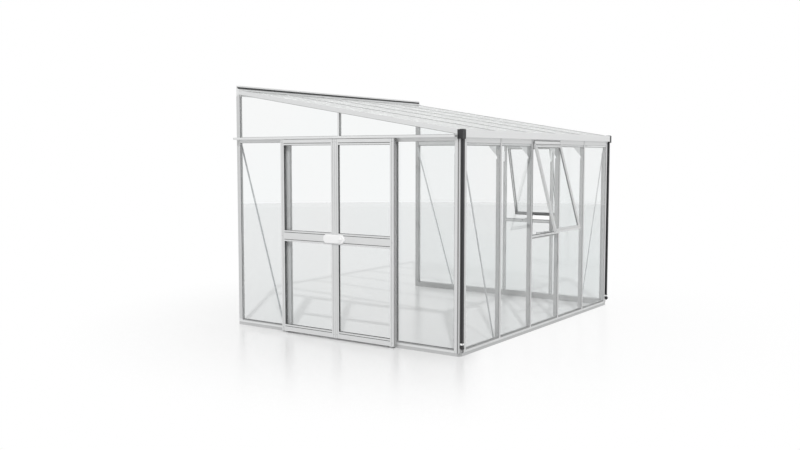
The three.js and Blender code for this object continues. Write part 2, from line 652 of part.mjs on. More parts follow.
// The eave bar: a gutter with a rail under it that carries the tops of the front panes
function eaveGutterBeam() {
  const wallIn = -GUTTER_OUT + GUTTER_WALL;
  const floor = GUTTER_BOTTOM + GUTTER_WALL;
  const rebateTop = EAVE_RAIL_BOTTOM + EAVE_RAIL_REBATE;
  const section = [
    [-GUTTER_OUT, GUTTER_BOTTOM], [-GUTTER_OUT, GUTTER_TOP],
    [wallIn + GUTTER_LIP, GUTTER_TOP], [wallIn + GUTTER_LIP, GUTTER_TOP - GUTTER_WALL],
    [wallIn, GUTTER_TOP - GUTTER_WALL], [wallIn, floor],
    [GUTTER_BACK - GUTTER_WALL, floor], [GUTTER_BACK - GUTTER_WALL, GUTTER_BACK_TOP],
    [GUTTER_BACK, GUTTER_BACK_TOP], [GUTTER_BACK, GUTTER_BOTTOM], [BAR_DEPTH, GUTTER_BOTTOM],
    [BAR_DEPTH, EAVE_RAIL_BOTTOM], [BASE_GROOVE, EAVE_RAIL_BOTTOM],
    [BASE_GROOVE, rebateTop], [FLANGE_THICKNESS, rebateTop], [FLANGE_THICKNESS, GUTTER_BOTTOM],
  ];
  const start = BOX_SIDE_IN + CLEARANCE;
  const beam = prism("x", section, start, LENGTH - start);
  const overPosts = gables.map((gable) =>
    block(
      gable.at(0), gable.at(CORNER_FRONT_FLANGE_END + CLEARANCE),
      0, BAR_DEPTH + OVERRUN,
      EAVE_RAIL_BOTTOM - OVERRUN, CORNER_TOP + CLEARANCE,
    ),
  );
  return join(cut(beam, ...overPosts), toFront(windowHook(FRONT_BAY)));
}

// The wall plate takes the upper ends of the rafters and carries the flashing over them
function wallPlate() {
  const front = DEPTH - BAR_DEPTH;
  const tip = DEPTH - FLASHING_REACH;
  const over = BAR_DEPTH + FLASHING_GAP;
  const capBottom = WALL_PLATE_TOP - WALL_PLATE_CAP;
  const sealBottom = capBottom - WALL_PLATE_SEAL;
  const section = [
    [front - WALL_PLATE_SHELF, WALL_PLATE_BOTTOM], [DEPTH, WALL_PLATE_BOTTOM], [DEPTH, WALL_PLATE_TOP],
    [DEPTH - WALL_PLATE_CAP_WIDTH, WALL_PLATE_TOP], [DEPTH - WALL_PLATE_CAP_WIDTH, capBottom],
    [DEPTH - WALL_PLATE_SEAL_BACK, capBottom], [DEPTH - WALL_PLATE_SEAL_BACK, sealBottom],
    [tip, roofHeight(tip, over) + FLASHING_THICKNESS], [tip, roofHeight(tip, over)],
    [front, roofHeight(front, over)], [front, WALL_PLATE_BOTTOM + WALL_PLATE_SHELF_HEIGHT],
    [front - WALL_PLATE_SHELF, WALL_PLATE_BOTTOM + WALL_PLATE_SHELF_HEIGHT],
  ];
  const start = FLANGE_THICKNESS + CLEARANCE;
  return prism("x", section, start, LENGTH - start);
}

// Roof pieces are drawn flat, with y up the slope, in a group that is turned to the roof's pitch
const roof = new THREE.Group();
roof.position.z = EAVE_LINE;
roof.rotation.x = ROOF_TURN;
greenhouse.add(roof);

const ROOF_LOW_END = ROOF_START / Math.cos(ROOF_TURN);
const ROOF_HIGH_END = (DEPTH - BAR_DEPTH - CLEARANCE) / Math.cos(ROOF_TURN);

// Clears the gutter's back wall under the lower end of a roof bar
function gutterNotch(x0, x1) {
  const rise = (GUTTER_BACK_TOP + CLEARANCE - EAVE_LINE) * Math.cos(ROOF_TURN);
  const top = rise - (GUTTER_BACK - GUTTER_WALL) * Math.sin(ROOF_TURN);
  const end = (GUTTER_BACK + CLEARANCE) * Math.cos(ROOF_TURN) + rise * Math.tan(ROOF_TURN);
  return block(x0 - OVERRUN, x1 + OVERRUN, 0, end, -OVERRUN, top);
}

function rafter(x) {
  const [web, cap, ledge] = [RAFTER_WEB / 2, RAFTER_CAP / 2, RAFTER_LEDGE / 2];
  const ledgeTop = RAFTER_LEDGE_HEIGHT + RAFTER_LEDGE_THICKNESS;
  const capBottom = BAR_DEPTH - FLANGE_THICKNESS;
  const half = [
    [web, 0], [web, RAFTER_LEDGE_HEIGHT], [ledge, RAFTER_LEDGE_HEIGHT], [ledge, ledgeTop],
    [web, ledgeTop], [web, capBottom], [cap, capBottom], [cap, BAR_DEPTH],
  ];
  const outline = [...half, ...half.toReversed().map(([a, b]) => [-a, b])];
  const placed = outline.map(([a, b]) => [x + a, b]);
  return cut(prism("y", placed, ROOF_LOW_END, ROOF_HIGH_END), gutterNotch(x - cap, x + cap));
}

function verge(gable) {
  const ledgeTop = RAFTER_LEDGE_HEIGHT + RAFTER_LEDGE_THICKNESS;
  const capBottom = BAR_DEPTH - FLANGE_THICKNESS;
  const outline = [
    [0, 0], [FLANGE_THICKNESS, 0], [FLANGE_THICKNESS, VERGE_POCKET], [VERGE_BODY, VERGE_POCKET],
    [VERGE_BODY, RAFTER_LEDGE_HEIGHT], [VERGE_LEDGE, RAFTER_LEDGE_HEIGHT], [VERGE_LEDGE, ledgeTop],
    [VERGE_BODY, ledgeTop], [VERGE_BODY, capBottom], [VERGE_CAP, capBottom], [VERGE_CAP, BAR_DEPTH],
    [0, BAR_DEPTH],
  ];
  return prism("y", gableOutline(gable, outline), ROOF_LOW_END, ROOF_HIGH_END);
}

function roofPanel(x0, x1) {
  const bottom = RAFTER_LEDGE_HEIGHT + RAFTER_LEDGE_THICKNESS + CLEARANCE;
  return block(x0, x1, ROOF_LOW_END, ROOF_HIGH_END, bottom, bottom + PANEL_THICKNESS);
}

function frontPane(x0, x1, top) {
  return block(x0, x1, GLASS_SEAT, GLASS_SEAT + GLASS_THICKNESS, BASE_LEDGE + CLEARANCE, top);
}

function gablePane(gable, y0, y1, top) {
  return block(
    gable.at(GLASS_SEAT), gable.at(GLASS_SEAT + GLASS_THICKNESS),
    y0, y1,
    BASE_LEDGE + CLEARANCE, top,
  );
}

// The pane between a gable's header and the verge
function topPane(gable) {
  const low = CORNER_SIDE_FLANGE_END + OVERRUN;
  const high = WALL_POST_START - CLEARANCE;
  const shelf = DEPTH - BAR_DEPTH - WALL_PLATE_SHELF - CLEARANCE;
  const bottom = RAIL_TOP - RAIL_GROOVE + CLEARANCE;
  const under = VERGE_POCKET - CLEARANCE;
  const outline = [
    [low, bottom], [high, bottom], [high, WALL_POST_TOP], [shelf, WALL_POST_TOP],
    [shelf, roofHeight(shelf, under)], [low, roofHeight(low, under)],
  ];
  return prism("x", outline, gable.at(GLASS_SEAT), gable.at(GLASS_SEAT + GLASS_THICKNESS));
}

// A door leaf's frame; `low` is its edge nearest the eave side
function leafFrame(low) {
  const high = low + LEAF_WIDTH;
  const [front, back] = [-LEAF_OUT, -LEAF_OUT + LEAF_THICKNESS];
  const [left, right] = [low + LEAF_STILE, high - LEAF_STILE];
  const [sightLow, sightHigh] = [LEAF_BOTTOM + LEAF_BOTTOM_RAIL, LEAF_TOP - LEAF_TOP_RAIL];
  const [midLow, midHigh] = [LEAF_MID_CENTRE - LEAF_MID_HEIGHT / 2, LEAF_MID_CENTRE + LEAF_MID_HEIGHT / 2];
  const openings = [rectangle(left, right, sightLow, midLow), rectangle(left, right, midHigh, sightHigh)];
  const frame = prism("x", rectangle(low, high, LEAF_BOTTOM, LEAF_TOP), front, back, openings);
  const rebate = block(
    -LEAF_PANE_BACK - GLASS_THICKNESS - CLEARANCE, back + OVERRUN,
    left - PANE_LAP, right + PANE_LAP,
    sightLow - PANE_LAP, sightHigh + PANE_LAP,
  );
  const groove = block(
    front + LEAF_GROOVE_INSET, front + LEAF_GROOVE_INSET + LEAF_GROOVE_WIDTH,
    low - OVERRUN, high + OVERRUN,
    LEAF_BOTTOM - OVERRUN, LEAF_BOTTOM + LEAF_GROOVE_HEIGHT,
  );
  const line = (y0, y1, z0, z1) => block(front - OVERRUN, front + BEAD_GROOVE, y0, y1, z0, z1);
  const uprights = [left - LEAF_BEAD - BEAD_GROOVE, right + LEAF_BEAD].map((y) =>
    line(y, y + BEAD_GROOVE, LEAF_BOTTOM - OVERRUN, LEAF_TOP + OVERRUN),
  );
  const acrossHeights = [
    sightLow - LEAF_BEAD - BEAD_GROOVE, midLow + LEAF_BEAD,
    midHigh - LEAF_BEAD - BEAD_GROOVE, sightHigh + LEAF_BEAD,
  ];
  const across = acrossHeights.map((z) => line(left, right, z, z + BEAD_GROOVE));
  const hangers = rollerPlaces(low).map(hanger);
  return join(cut(frame, rebate, groove, ...uprights, ...across), ...hangers);
}

function rollerPlaces(low) {
  return [low + ROLLER_FROM_EDGE, low + LEAF_WIDTH - ROLLER_FROM_EDGE];
}

const ROLLER_AXIS = TRACK_BOTTOM + TRACK_WALL + CLEARANCE + ROLLER_RADIUS;

// The plate and pin on top of a leaf that carry one roller
function hanger(y) {
  const middle = -LEAF_OUT + LEAF_THICKNESS / 2 + TRACK_INNER_WALL;
  const half = HANGER_THICKNESS / 2;
  const plate = block(
    middle - half, middle + half,
    y - HANGER_WIDTH / 2, y + HANGER_WIDTH / 2,
    LEAF_TOP - HANGER_SINK, ROLLER_AXIS + HANGER_ABOVE_PIN,
  );
  const tip = -TRACK_OUT + TRACK_WALL + PIN_END_CLEARANCE;
  const length = middle - tip;
  return join(plate, rod("x", ROLLER_BORE - PIN_CLEARANCE, length, [tip + length / 2, y, ROLLER_AXIS]));
}

function leafPane(low) {
  const lap = PANE_LAP - CLEARANCE;
  return block(
    -LEAF_PANE_BACK - GLASS_THICKNESS, -LEAF_PANE_BACK,
    low + LEAF_STILE - lap, low + LEAF_WIDTH - LEAF_STILE + lap,
    LEAF_BOTTOM + LEAF_BOTTOM_RAIL - lap, LEAF_TOP - LEAF_TOP_RAIL + lap,
  );
}

function roller(y) {
  const profile = [
    [ROLLER_BORE, 0], [ROLLER_RADIUS, 0],
    [ROLLER_RADIUS, ROLLER_WIDTH], [ROLLER_BORE, ROLLER_WIDTH], [ROLLER_BORE, 0],
  ].map(([r, h]) => new THREE.Vector2(r, h));
  const ring = new THREE.LatheGeometry(profile, ROLLER_FACETS);
  return ring.rotateZ(-Math.PI / 2).translate(-ROLLER_OUT, y, ROLLER_AXIS);
}

const SEAM = DOOR_CENTRE;
const KNOB_CENTRE = SEAM - KNOB_FROM_SEAM;
const LOCK_BACK = -LEAF_OUT - CLEARANCE;
const LOCK_FACE = LOCK_BACK - LOCK_THICKNESS;

// The lock's housing is fixed to the left leaf and laps over the right one
function lockBody() {
  const end = SEAM + LOCK_REACH - LOCK_CORNER;
  const rise = LOCK_HEIGHT / 2 - LOCK_CORNER;
  const corners = [
    [end, LOCK_CENTRE - rise, LOCK_CORNER], [end, LOCK_CENTRE + rise, LOCK_CORNER],
    [KNOB_CENTRE, LOCK_CENTRE, LOCK_END], [KNOB_CENTRE, LOCK_CENTRE, LOCK_END],
  ];
  const outline = corners.flatMap(([y, z, radius], corner) =>
    Array.from({ length: CORNER_FACETS + 1 }, (_, i) => {
      const angle = (Math.PI / 2) * (corner - 1 + i / CORNER_FACETS);
      return [y + radius * Math.cos(angle), z + radius * Math.sin(angle)];
    }),
  );
  const depth = SPINDLE_LENGTH + SPINDLE_CLEARANCE;
  const bore = rod(
    "x", SPINDLE_RADIUS + SPINDLE_CLEARANCE, depth + OVERRUN,
    [LOCK_FACE + (depth - OVERRUN) / 2, KNOB_CENTRE, LOCK_CENTRE],
  );
  return cut(prism("x", outline, LOCK_FACE, LOCK_BACK), bore);
}

// The knob turns on a spindle in the housing
function lockKnob() {
  const back = LOCK_FACE - CLEARANCE;
  const face = back - KNOB_THICKNESS;
  const centre = [(back + face) / 2, KNOB_CENTRE, LOCK_CENTRE];
  const disc = rod("x", KNOB_RADIUS, KNOB_THICKNESS, centre, KNOB_FACETS);
  const [long, wide] = [KNOB_GRIP_LENGTH / 2, KNOB_GRIP_WIDTH / 2];
  const grip = block(
    face - KNOB_GRIP_HEIGHT, face + JOIN,
    KNOB_CENTRE - long, KNOB_CENTRE + long,
    LOCK_CENTRE - wide, LOCK_CENTRE + wide,
  );
  const spindleEnd = LOCK_FACE + SPINDLE_LENGTH;
  const spindleStart = back - JOIN;
  const spindle = rod(
    "x", SPINDLE_RADIUS, spindleEnd - spindleStart,
    [(spindleEnd + spindleStart) / 2, KNOB_CENTRE, LOCK_CENTRE],
  );
  return join(disc, grip, spindle);
}

// The bar over a window with the rod that the sash hooks on to
function windowHook(bay) {
  const half = bay / 2 - SASH_INSET - HINGE_INSET;
  const neck = HINGE_NECK / 2;
  const barFace = FLANGE_THICKNESS - HINGE_BAR_THICKNESS;
  return join(
    block(-half, half, barFace, FLANGE_THICKNESS + JOIN, HINGE_BAR_BOTTOM, HINGE_BAR_TOP),
    block(-half, half, -HINGE_OUT - neck, 0, HINGE_BAR_TOP - HINGE_BAR_THICKNESS, HINGE_BAR_TOP),
    block(-half, half, -HINGE_OUT - neck, -HINGE_OUT + neck, HINGE_HEIGHT, HINGE_BAR_TOP - JOIN),
    rod("x", HINGE_ROD, 2 * half, [0, -HINGE_OUT, HINGE_HEIGHT]),
  );
}

// The sash hangs down from the hinge line at its own origin
function sashFrame(bay) {
  const half = bay / 2 - SASH_INSET;
  const [left, right] = [-half + SASH_STILE, half - SASH_STILE];
  const [low, high] = [SASH_BOTTOM_RAIL - SASH_BELOW_HINGE, SASH_ABOVE_HINGE - SASH_TOP_RAIL];
  const frame = prism(
    "y", rectangle(-half, half, -SASH_BELOW_HINGE, SASH_ABOVE_HINGE), -SASH_OUT, SASH_IN,
    [rectangle(left, right, low, high)],
  );
  const rebate = block(
    left - PANE_LAP, right + PANE_LAP,
    -SASH_PANE_OUT - CLEARANCE, SASH_IN + OVERRUN,
    low - PANE_LAP, high + PANE_LAP,
  );
  const bore = rod("x", HINGE_ROD + HINGE_ROD_CLEARANCE, 2 * (half + OVERRUN), [0, 0, 0]);
  const reach = SASH_ABOVE_HINGE + OVERRUN;
  const room = HINGE_NECK / 2 + HINGE_ROD_CLEARANCE;
  const neckSlot = prism(
    "x", [[-room, 0], [room, 0], [room, reach], [-room - reach * HINGE_WEDGE_SHARE, reach]],
    -half - OVERRUN, half + OVERRUN,
  );
  const opening = rectangle(left, right, low, high);
  const bead = prism(
    "y", grown(opening, SASH_BEAD + BEAD_GROOVE), -SASH_OUT - OVERRUN, -SASH_OUT + BEAD_GROOVE,
    [grown(opening, SASH_BEAD)],
  );
  return join(cut(frame, rebate, bore, neckSlot, bead), stayLug());
}

// A lug with a pin on the sash's bottom rail, for the eye of the stay
function stayLug() {
  const pinEnd = STAY_SIDE + STAY_WIDTH / 2 + STAY_SIDE_GAP;
  const lugEnd = STAY_SIDE - STAY_WIDTH / 2 - STAY_SIDE_GAP;
  const lug = block(
    lugEnd - STAY_LUG_WIDTH, lugEnd,
    SASH_IN - JOIN, STAY_BEHIND_HINGE + STAY_LUG_NOSE,
    -STAY_BELOW_HINGE - STAY_LUG_HEIGHT / 2, -STAY_BELOW_HINGE + STAY_LUG_HEIGHT / 2,
  );
  const length = pinEnd - lugEnd + JOIN;
  const centre = [pinEnd - length / 2, STAY_BEHIND_HINGE, -STAY_BELOW_HINGE];
  return join(lug, rod("x", STAY_PIN, length, centre));
}

function sashPane(bay) {
  const lap = PANE_LAP - CLEARANCE;
  const half = bay / 2 - SASH_INSET - SASH_STILE + lap;
  return block(
    -half, half,
    -SASH_PANE_OUT, -SASH_PANE_OUT + GLASS_THICKNESS,
    SASH_BOTTOM_RAIL - SASH_BELOW_HINGE - lap, SASH_ABOVE_HINGE - SASH_TOP_RAIL + lap,
  );
}

// The stay's eye is at the origin, and the bar runs inwards along y
function stayBar() {
  const half = STAY_HEIGHT / 2;
  const outline = [];
  for (const [y, from] of [[0, Math.PI / 2], [STAY_LENGTH, -Math.PI / 2]]) {
    for (let i = 0; i <= ROD_FACETS / 2; i++) {
      const angle = from + (2 * Math.PI * i) / ROD_FACETS;
      outline.push([y + half * Math.cos(angle), half * Math.sin(angle)]);
    }
  }
  const bar = prism("x", outline, STAY_SIDE - STAY_WIDTH / 2, STAY_SIDE + STAY_WIDTH / 2);
  const length = STAY_WIDTH + 2 * OVERRUN;
  return cut(bar, rod("x", STAY_PIN + HINGE_ROD_CLEARANCE, length, [STAY_SIDE, 0, 0]));
}

// The sill between two posts, with a fork that the stay slides through
function windowSill(bay, grip) {
  const noseHalf = bay / 2 - FLANGE_WIDTH / 2 - CLEARANCE;
  const bodyHalf = bay / 2 - WEB_WIDTH / 2 - CLEARANCE + (grip ? CLEARANCE + grip : 0);
  const bodyFace = FLANGE_THICKNESS + CLEARANCE;
  const nose = block(-noseHalf, noseHalf, -SILL_NOSE_OUT, FLANGE_THICKNESS, SILL_BOTTOM, SILL_NOSE_TOP);
  const neck = block(-noseHalf, noseHalf, 0, bodyFace + JOIN, SILL_BODY_BOTTOM, SILL_BODY_TOP);
  const body = block(-bodyHalf, bodyHalf, bodyFace, BAR_DEPTH, SILL_BODY_BOTTOM, SILL_BODY_TOP);
  const inner = STAY_WIDTH / 2 + FORK_SIDE_GAP;
  const cheeks = [-1, 1].map((side) =>
    block(
      STAY_SIDE + side * inner, STAY_SIDE + side * (inner + FORK_CHEEK),
      FORK_BEHIND - FORK_LENGTH / 2, FORK_BEHIND + FORK_LENGTH / 2,
      SILL_BODY_TOP - JOIN, FORK_TOP,
    ),
  );
  return join(nose, neck, body, ...cheeks);
}

// A window's moving pieces, in a group whose origin is on the ground below the window's middle
function windowGroup(name, bay) {
  const group = new THREE.Group();
  const sash = new THREE.Group();
  sash.position.set(0, -HINGE_OUT, HINGE_HEIGHT);
  sash.rotation.x = -WINDOW_OPEN;
  add(name + "_sash", sashFrame(bay), aluminium, sash);
  add(name + "_pane", sashPane(bay), glass, sash);
  const eye = new THREE.Vector3(0, STAY_BEHIND_HINGE, -STAY_BELOW_HINGE);
  eye.applyEuler(sash.rotation).add(sash.position);
  const stay = new THREE.Group();
  stay.position.copy(eye);
  stay.rotation.x = -Math.atan2(eye.z - FORK_LINE, FORK_BEHIND - eye.y);
  add(name + "_stay", stayBar(), steel, stay);
  group.add(sash, stay);
  return group;
}

// A rain outlet box with its downpipe, which ends in a shoe that points out from the corner
function downpipe(gable) {
  const outward = gable === doorGable ? -1 : 1;
  const [x, y] = [gable.at(PIPE_FROM_GABLE), -PIPE_OUT];
  const box = block(
    gable.at(-BOX_SIDE_OUT), gable.at(BOX_SIDE_IN),
    -BOX_FRONT_OUT, BOX_BACK,
    BOX_BOTTOM, GUTTER_TOP,
  );
  const hollow = block(
    gable.at(BOX_WALL - BOX_SIDE_OUT), gable.at(BOX_SIDE_IN + OVERRUN),
    BOX_WALL - BOX_FRONT_OUT, BOX_BACK - BOX_WALL,
    GUTTER_BOTTOM + GUTTER_WALL, GUTTER_TOP - BOX_WALL,
  );
  const lid = block(
    gable.at(LID_EDGE), gable.at(BOX_SIDE_IN),
    -BOX_FRONT_OUT, BOX_BACK - LID_EDGE,
    GUTTER_TOP - JOIN, GUTTER_TOP + LID_HEIGHT,
  );
  const half = PIPE_SIDE / 2;
  const pipe = block(x - half, x + half, y - half, y + half, PIPE_END, BOX_BOTTOM + JOIN);
  const wide = COLLAR_SIDE / 2;
  const collar = block(x - wide, x + wide, y - wide, y + wide, COLLAR_END, PIPE_END + JOIN);
  return join(cut(box, hollow), lid, pipe, collar, shoe(x, y, outward));
}

function shoe(x, y, outward) {
  const top = COLLAR_END + JOIN;
  const bendHeight = COLLAR_END - SHOE_DROP;
  const start = new THREE.Vector3(x, y, top);
  const bend = new THREE.Vector3(x, y, bendHeight);
  const end = new THREE.Vector3(x + outward * SHOE_REACH, y - SHOE_REACH, bendHeight - SHOE_END_DROP);
  const path = new THREE.QuadraticBezierCurve3(start, bend, end);
  const half = COLLAR_SIDE / 2;
  const corners = rectangle(-half, half, -half, half).map(([a, b]) => new THREE.Vector2(a, b));
  const section = new THREE.Shape(corners);
  return new THREE.ExtrudeGeometry(section, { extrudePath: path, steps: SHOE_STEPS, bevelEnabled: false });
}

// A flat bar between two points on the inner face of a wall of the frame
function brace(length) {
  const half = BRACE_WIDTH / 2;
  return block(-half, half, 0, BRACE_THICKNESS, -length / 2, length / 2);
}

// Places a brace from its foot to its top; `turn` turns the wall's inward side from y to x
function addBrace(name, foot, top, turn) {
  const run = top - foot;
  const rise = BRACE_TOP - BRACE_BOTTOM;
  const mesh = add(name, brace(Math.hypot(run, rise)), steel);
  mesh.rotation.order = "ZYX";
  mesh.rotation.y = Math.atan2(run, rise);
  mesh.rotation.z = turn;
  return mesh;
}

function buildBase() {
  add("base_frame", baseFrame(), aluminium);
}

function buildPosts() {
  for (const gable of gables) {
    add("corner_post_" + gable.end, cornerPost(gable), aluminium);
    add("wall_post_" + gable.end, wallPost(gable), aluminium);
  }
  for (let i = 1; i < FRONT_BAYS; i++) {
    add("front_post_" + i, frontPost(frontGrid(i)), aluminium);
  }
}

function buildRails() {
  add("door_frame", doorFrame(), aluminium);
  add("far_gable_frame", farGableFrame(), aluminium);
  add("eave_gutter_beam", eaveGutterBeam(), aluminium);
  add("wall_plate", wallPlate(), aluminium);
}

function buildRoof() {
  const webs = [VERGE_BODY];
  for (let i = 1; i < FRONT_BAYS; i++) {
    add("rafter_" + i, rafter(frontGrid(i)), aluminium, roof);
    webs.push(frontGrid(i) - RAFTER_WEB / 2, frontGrid(i) + RAFTER_WEB / 2);
  }
  webs.push(LENGTH - VERGE_BODY);
  for (let i = 0; i < FRONT_BAYS; i++) {
    const panel = roofPanel(webs[2 * i] + CLEARANCE, webs[2 * i + 1] - CLEARANCE);
    add("roof_panel_" + (i + 1), panel, twinWall, roof);
  }
  for (const gable of gables) {
    add("verge_" + gable.end, verge(gable), aluminium, roof);
  }
}

function buildFrontPanes() {
  const webs = [CORNER_FRONT_END];
  for (let i = 1; i < FRONT_BAYS; i++) {
    webs.push(frontGrid(i) - WEB_WIDTH / 2, frontGrid(i) + WEB_WIDTH / 2);
  }
  webs.push(LENGTH - CORNER_FRONT_END);
  for (let i = 0; i < FRONT_BAYS; i++) {
    const head = i === WINDOW_BAY ? SILL_BODY_BOTTOM : EAVE_RAIL_BOTTOM + EAVE_RAIL_REBATE;
    const pane = frontPane(webs[2 * i] + CLEARANCE, webs[2 * i + 1] - CLEARANCE, head - CLEARANCE);
    add("front_pane_" + (i + 1), pane, glass);
  }
}

function buildGablePanes() {
  const head = RAIL_BOTTOM + RAIL_GROOVE - CLEARANCE;
  const [corner, wall] = [CORNER_SIDE_END + CLEARANCE, WALL_POST_START - CLEARANCE];
  const beside = JAMB_WIDTH / 2 + CLEARANCE;
  add("door_gable_pane_corner", gablePane(doorGable, corner, JAMBS[0] - beside, head), glass);
  add("door_gable_pane_wall", gablePane(doorGable, JAMBS[1] + beside, wall, head), glass);
  const edge = WEB_WIDTH / 2 + CLEARANCE;
  const underWindow = SILL_BODY_BOTTOM - CLEARANCE;
  const windowBay = [gableGrid(FAR_WINDOW_BAY) + edge, gableGrid(FAR_WINDOW_BAY + 1) - edge];
  add("far_gable_pane_corner", gablePane(farGable, corner, gableGrid(1) - edge, head), glass);
  add("far_gable_pane_low", gablePane(farGable, ...windowBay, underWindow), glass);
  add("far_gable_pane_middle", gablePane(farGable, gableGrid(2) + edge, gableGrid(3) - edge, head), glass);
  add("far_gable_pane_wall", gablePane(farGable, gableGrid(3) + edge, wall, head), glass);
  for (const gable of gables) {
    add(gable.name + "_pane_top", topPane(gable), glass);
  }
}

function buildDoors() {
  const leaves = [
    { side: "left", low: SEAM + LEAF_GAP / 2 },
    { side: "right", low: SEAM - LEAF_GAP / 2 - LEAF_WIDTH },
  ];
  for (const { side, low } of leaves) {
    add("door_leaf_" + side, leafFrame(low), aluminium);
    add("door_pane_" + side, leafPane(low), glass);
    rollerPlaces(low).forEach((y, i) => add("door_roller_" + side + "_" + (i + 1), roller(y), nylon));
  }
  add("lock_body", lockBody(), whitePlastic);
  add("lock_knob", lockKnob(), whitePlastic);
}

function buildWindows() {
  const front = windowGroup("front_window", FRONT_BAY);
  front.position.x = (frontGrid(WINDOW_BAY) + frontGrid(WINDOW_BAY + 1)) / 2;
  const far = windowGroup("far_window", GABLE_BAY);
  far.position.set(LENGTH, (gableGrid(FAR_WINDOW_BAY) + gableGrid(FAR_WINDOW_BAY + 1)) / 2, 0);
  far.rotation.z = Math.PI / 2;
  greenhouse.add(front, far);
  add("front_window_sill", toFront(windowSill(FRONT_BAY, 0)), aluminium);
}

function buildDownpipes() {
  for (const gable of gables) {
    add("downpipe_" + gable.end, downpipe(gable), blackPlastic);
  }
}

function buildBraces() {
  const inner = BAR_DEPTH + CLEARANCE;
  const middle = (BRACE_TOP + BRACE_BOTTOM) / 2;
  const top = BRACE_TOP_FROM_CORNER;
  const foot = frontGrid(1) - WEB_WIDTH / 2 - BRACE_FOOT_FROM_POST;
  const centre = (top + foot) / 2;
  addBrace("brace_front_door_end", foot, top, 0).position.set(centre, inner, middle);
  const farBrace = addBrace("brace_front_far_end", LENGTH - foot, LENGTH - top, 0);
  farBrace.position.set(LENGTH - centre, inner, middle);
  const wallTop = DEPTH - BRACE_TOP_FROM_WALL;
  const jambFoot = JAMBS[1] + JAMB_WIDTH / 2 + JAMB_BRACE_FOOT;
  const across = (wallTop + jambFoot) / 2;
  const door = addBrace("brace_door_gable", -jambFoot, -wallTop, -Math.PI / 2);
  door.position.set(inner, across, middle);
  const far = addBrace("brace_far_gable", jambFoot, wallTop, Math.PI / 2);
  far.position.set(LENGTH - inner, across, middle);
}

buildBase();
buildPosts();
buildRails();
buildRoof();
buildFrontPanes();
buildGablePanes();
buildDoors();
buildWindows();
buildDownpipes();
buildBraces();

// The part's origin is at the bottom centre of the box round it
const bounds = new THREE.Box3().setFromObject(greenhouse, true);
const centre = bounds.getCenter(new THREE.Vector3());
greenhouse.position.set(-centre.x, -centre.y, -bounds.min.z);

const part = new THREE.Group();
part.add(greenhouse);
export default part;
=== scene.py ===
# The looks of the lean-to greenhouse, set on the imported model.
# Blender 4.5, metres, +Z up; the eave side faces -Y and the door gable -X.
import math

import bmesh
import bpy
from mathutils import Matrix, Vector


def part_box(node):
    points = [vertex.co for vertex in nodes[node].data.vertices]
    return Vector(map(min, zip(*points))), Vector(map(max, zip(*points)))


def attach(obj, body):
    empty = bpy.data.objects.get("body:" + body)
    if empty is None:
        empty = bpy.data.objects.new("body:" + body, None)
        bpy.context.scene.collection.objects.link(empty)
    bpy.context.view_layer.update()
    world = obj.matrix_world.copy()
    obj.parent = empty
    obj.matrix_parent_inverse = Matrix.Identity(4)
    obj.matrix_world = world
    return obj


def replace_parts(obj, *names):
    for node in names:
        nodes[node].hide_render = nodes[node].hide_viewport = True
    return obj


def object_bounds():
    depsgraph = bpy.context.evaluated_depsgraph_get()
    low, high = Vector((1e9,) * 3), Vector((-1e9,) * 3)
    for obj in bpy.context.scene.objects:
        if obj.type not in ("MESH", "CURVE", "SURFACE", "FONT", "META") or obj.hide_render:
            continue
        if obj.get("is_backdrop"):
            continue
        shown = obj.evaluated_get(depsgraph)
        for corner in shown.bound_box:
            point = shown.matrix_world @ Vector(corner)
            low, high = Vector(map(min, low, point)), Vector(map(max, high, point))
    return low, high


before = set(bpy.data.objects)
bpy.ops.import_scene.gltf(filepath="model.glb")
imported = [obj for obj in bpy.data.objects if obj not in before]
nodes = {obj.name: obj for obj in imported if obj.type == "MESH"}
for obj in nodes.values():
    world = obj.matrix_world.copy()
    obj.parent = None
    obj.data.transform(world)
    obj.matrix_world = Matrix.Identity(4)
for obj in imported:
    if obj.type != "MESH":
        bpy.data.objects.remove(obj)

cad_low, cad_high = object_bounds()

# Sizes of the frame in mm, counted from the outer corner of the base frame at the door gable's eave end
LENGTH = 3690
DEPTH = 2960
EAVE = 2135
ROOF_RISE = 491
SLOPE = ROOF_RISE / DEPTH
TURN = math.atan(SLOPE)
CORNER_TO_GRID = 88.75
BAY = 702.5
BAYS = 5
FRONT_POSTS = range(1, BAYS)
GABLE_POSTS = (1, 2, 3)
WINDOW_BAY = 2
FRONT_WINDOW, FAR_WINDOW = 2.5, 1.5  # middle, in bays from the grid's first line
FLANGE = 3
FLANGE_HALF = 15
WEB_HALF = 8
BAR_DEPTH = 45
PANE_FACE = 3.3
PANE_BACK = 7.3
BASE_TOP = 66
CORNER_FLANGE = 72
CORNER_FRONT_FLANGE = 101
CORNER_WEB = 65
CORNER_FRONT_WEB = 94
JAMBS = (785, 2202.5)
JAMB_FLANGE_HALF = 37
JAMB_HALF = 30
WALL_FLANGE = 2905
WALL_WEB = 2912
RAIL_BOTTOM = 2075
RAIL_WEB = 2083
RAIL_TOP = 2136
EAVE_RAIL_BOTTOM = 2038
EAVE_RAIL_LIP = 2060
SILL_TOP = 1066
SILL_BOTTOM = 1027
SILL_WEB = 1035
SEAM = 1493.75

# Sizes of the leaves and their track
LEAF_WIDTH = 748
LEAF_STILE = 45
LEAF_FRONT = -58
LEAF_BACK = -28
LEAF_LOW, LEAF_HIGH = 20, 2105
LEAF_MIDDLE = 1066
LEAF_SIGHT = ((92, 1007), (1125, 2045))
LEAF_PANE_FACE = -37
LEAF_PANE_BACK = -33
TRACK_BOTTOM, TRACK_TOP, TRACK_OUT = 2110, 2134.5, -62
TRACK_PLUGS = ((36, 40), (DEPTH - 10, DEPTH - 6))

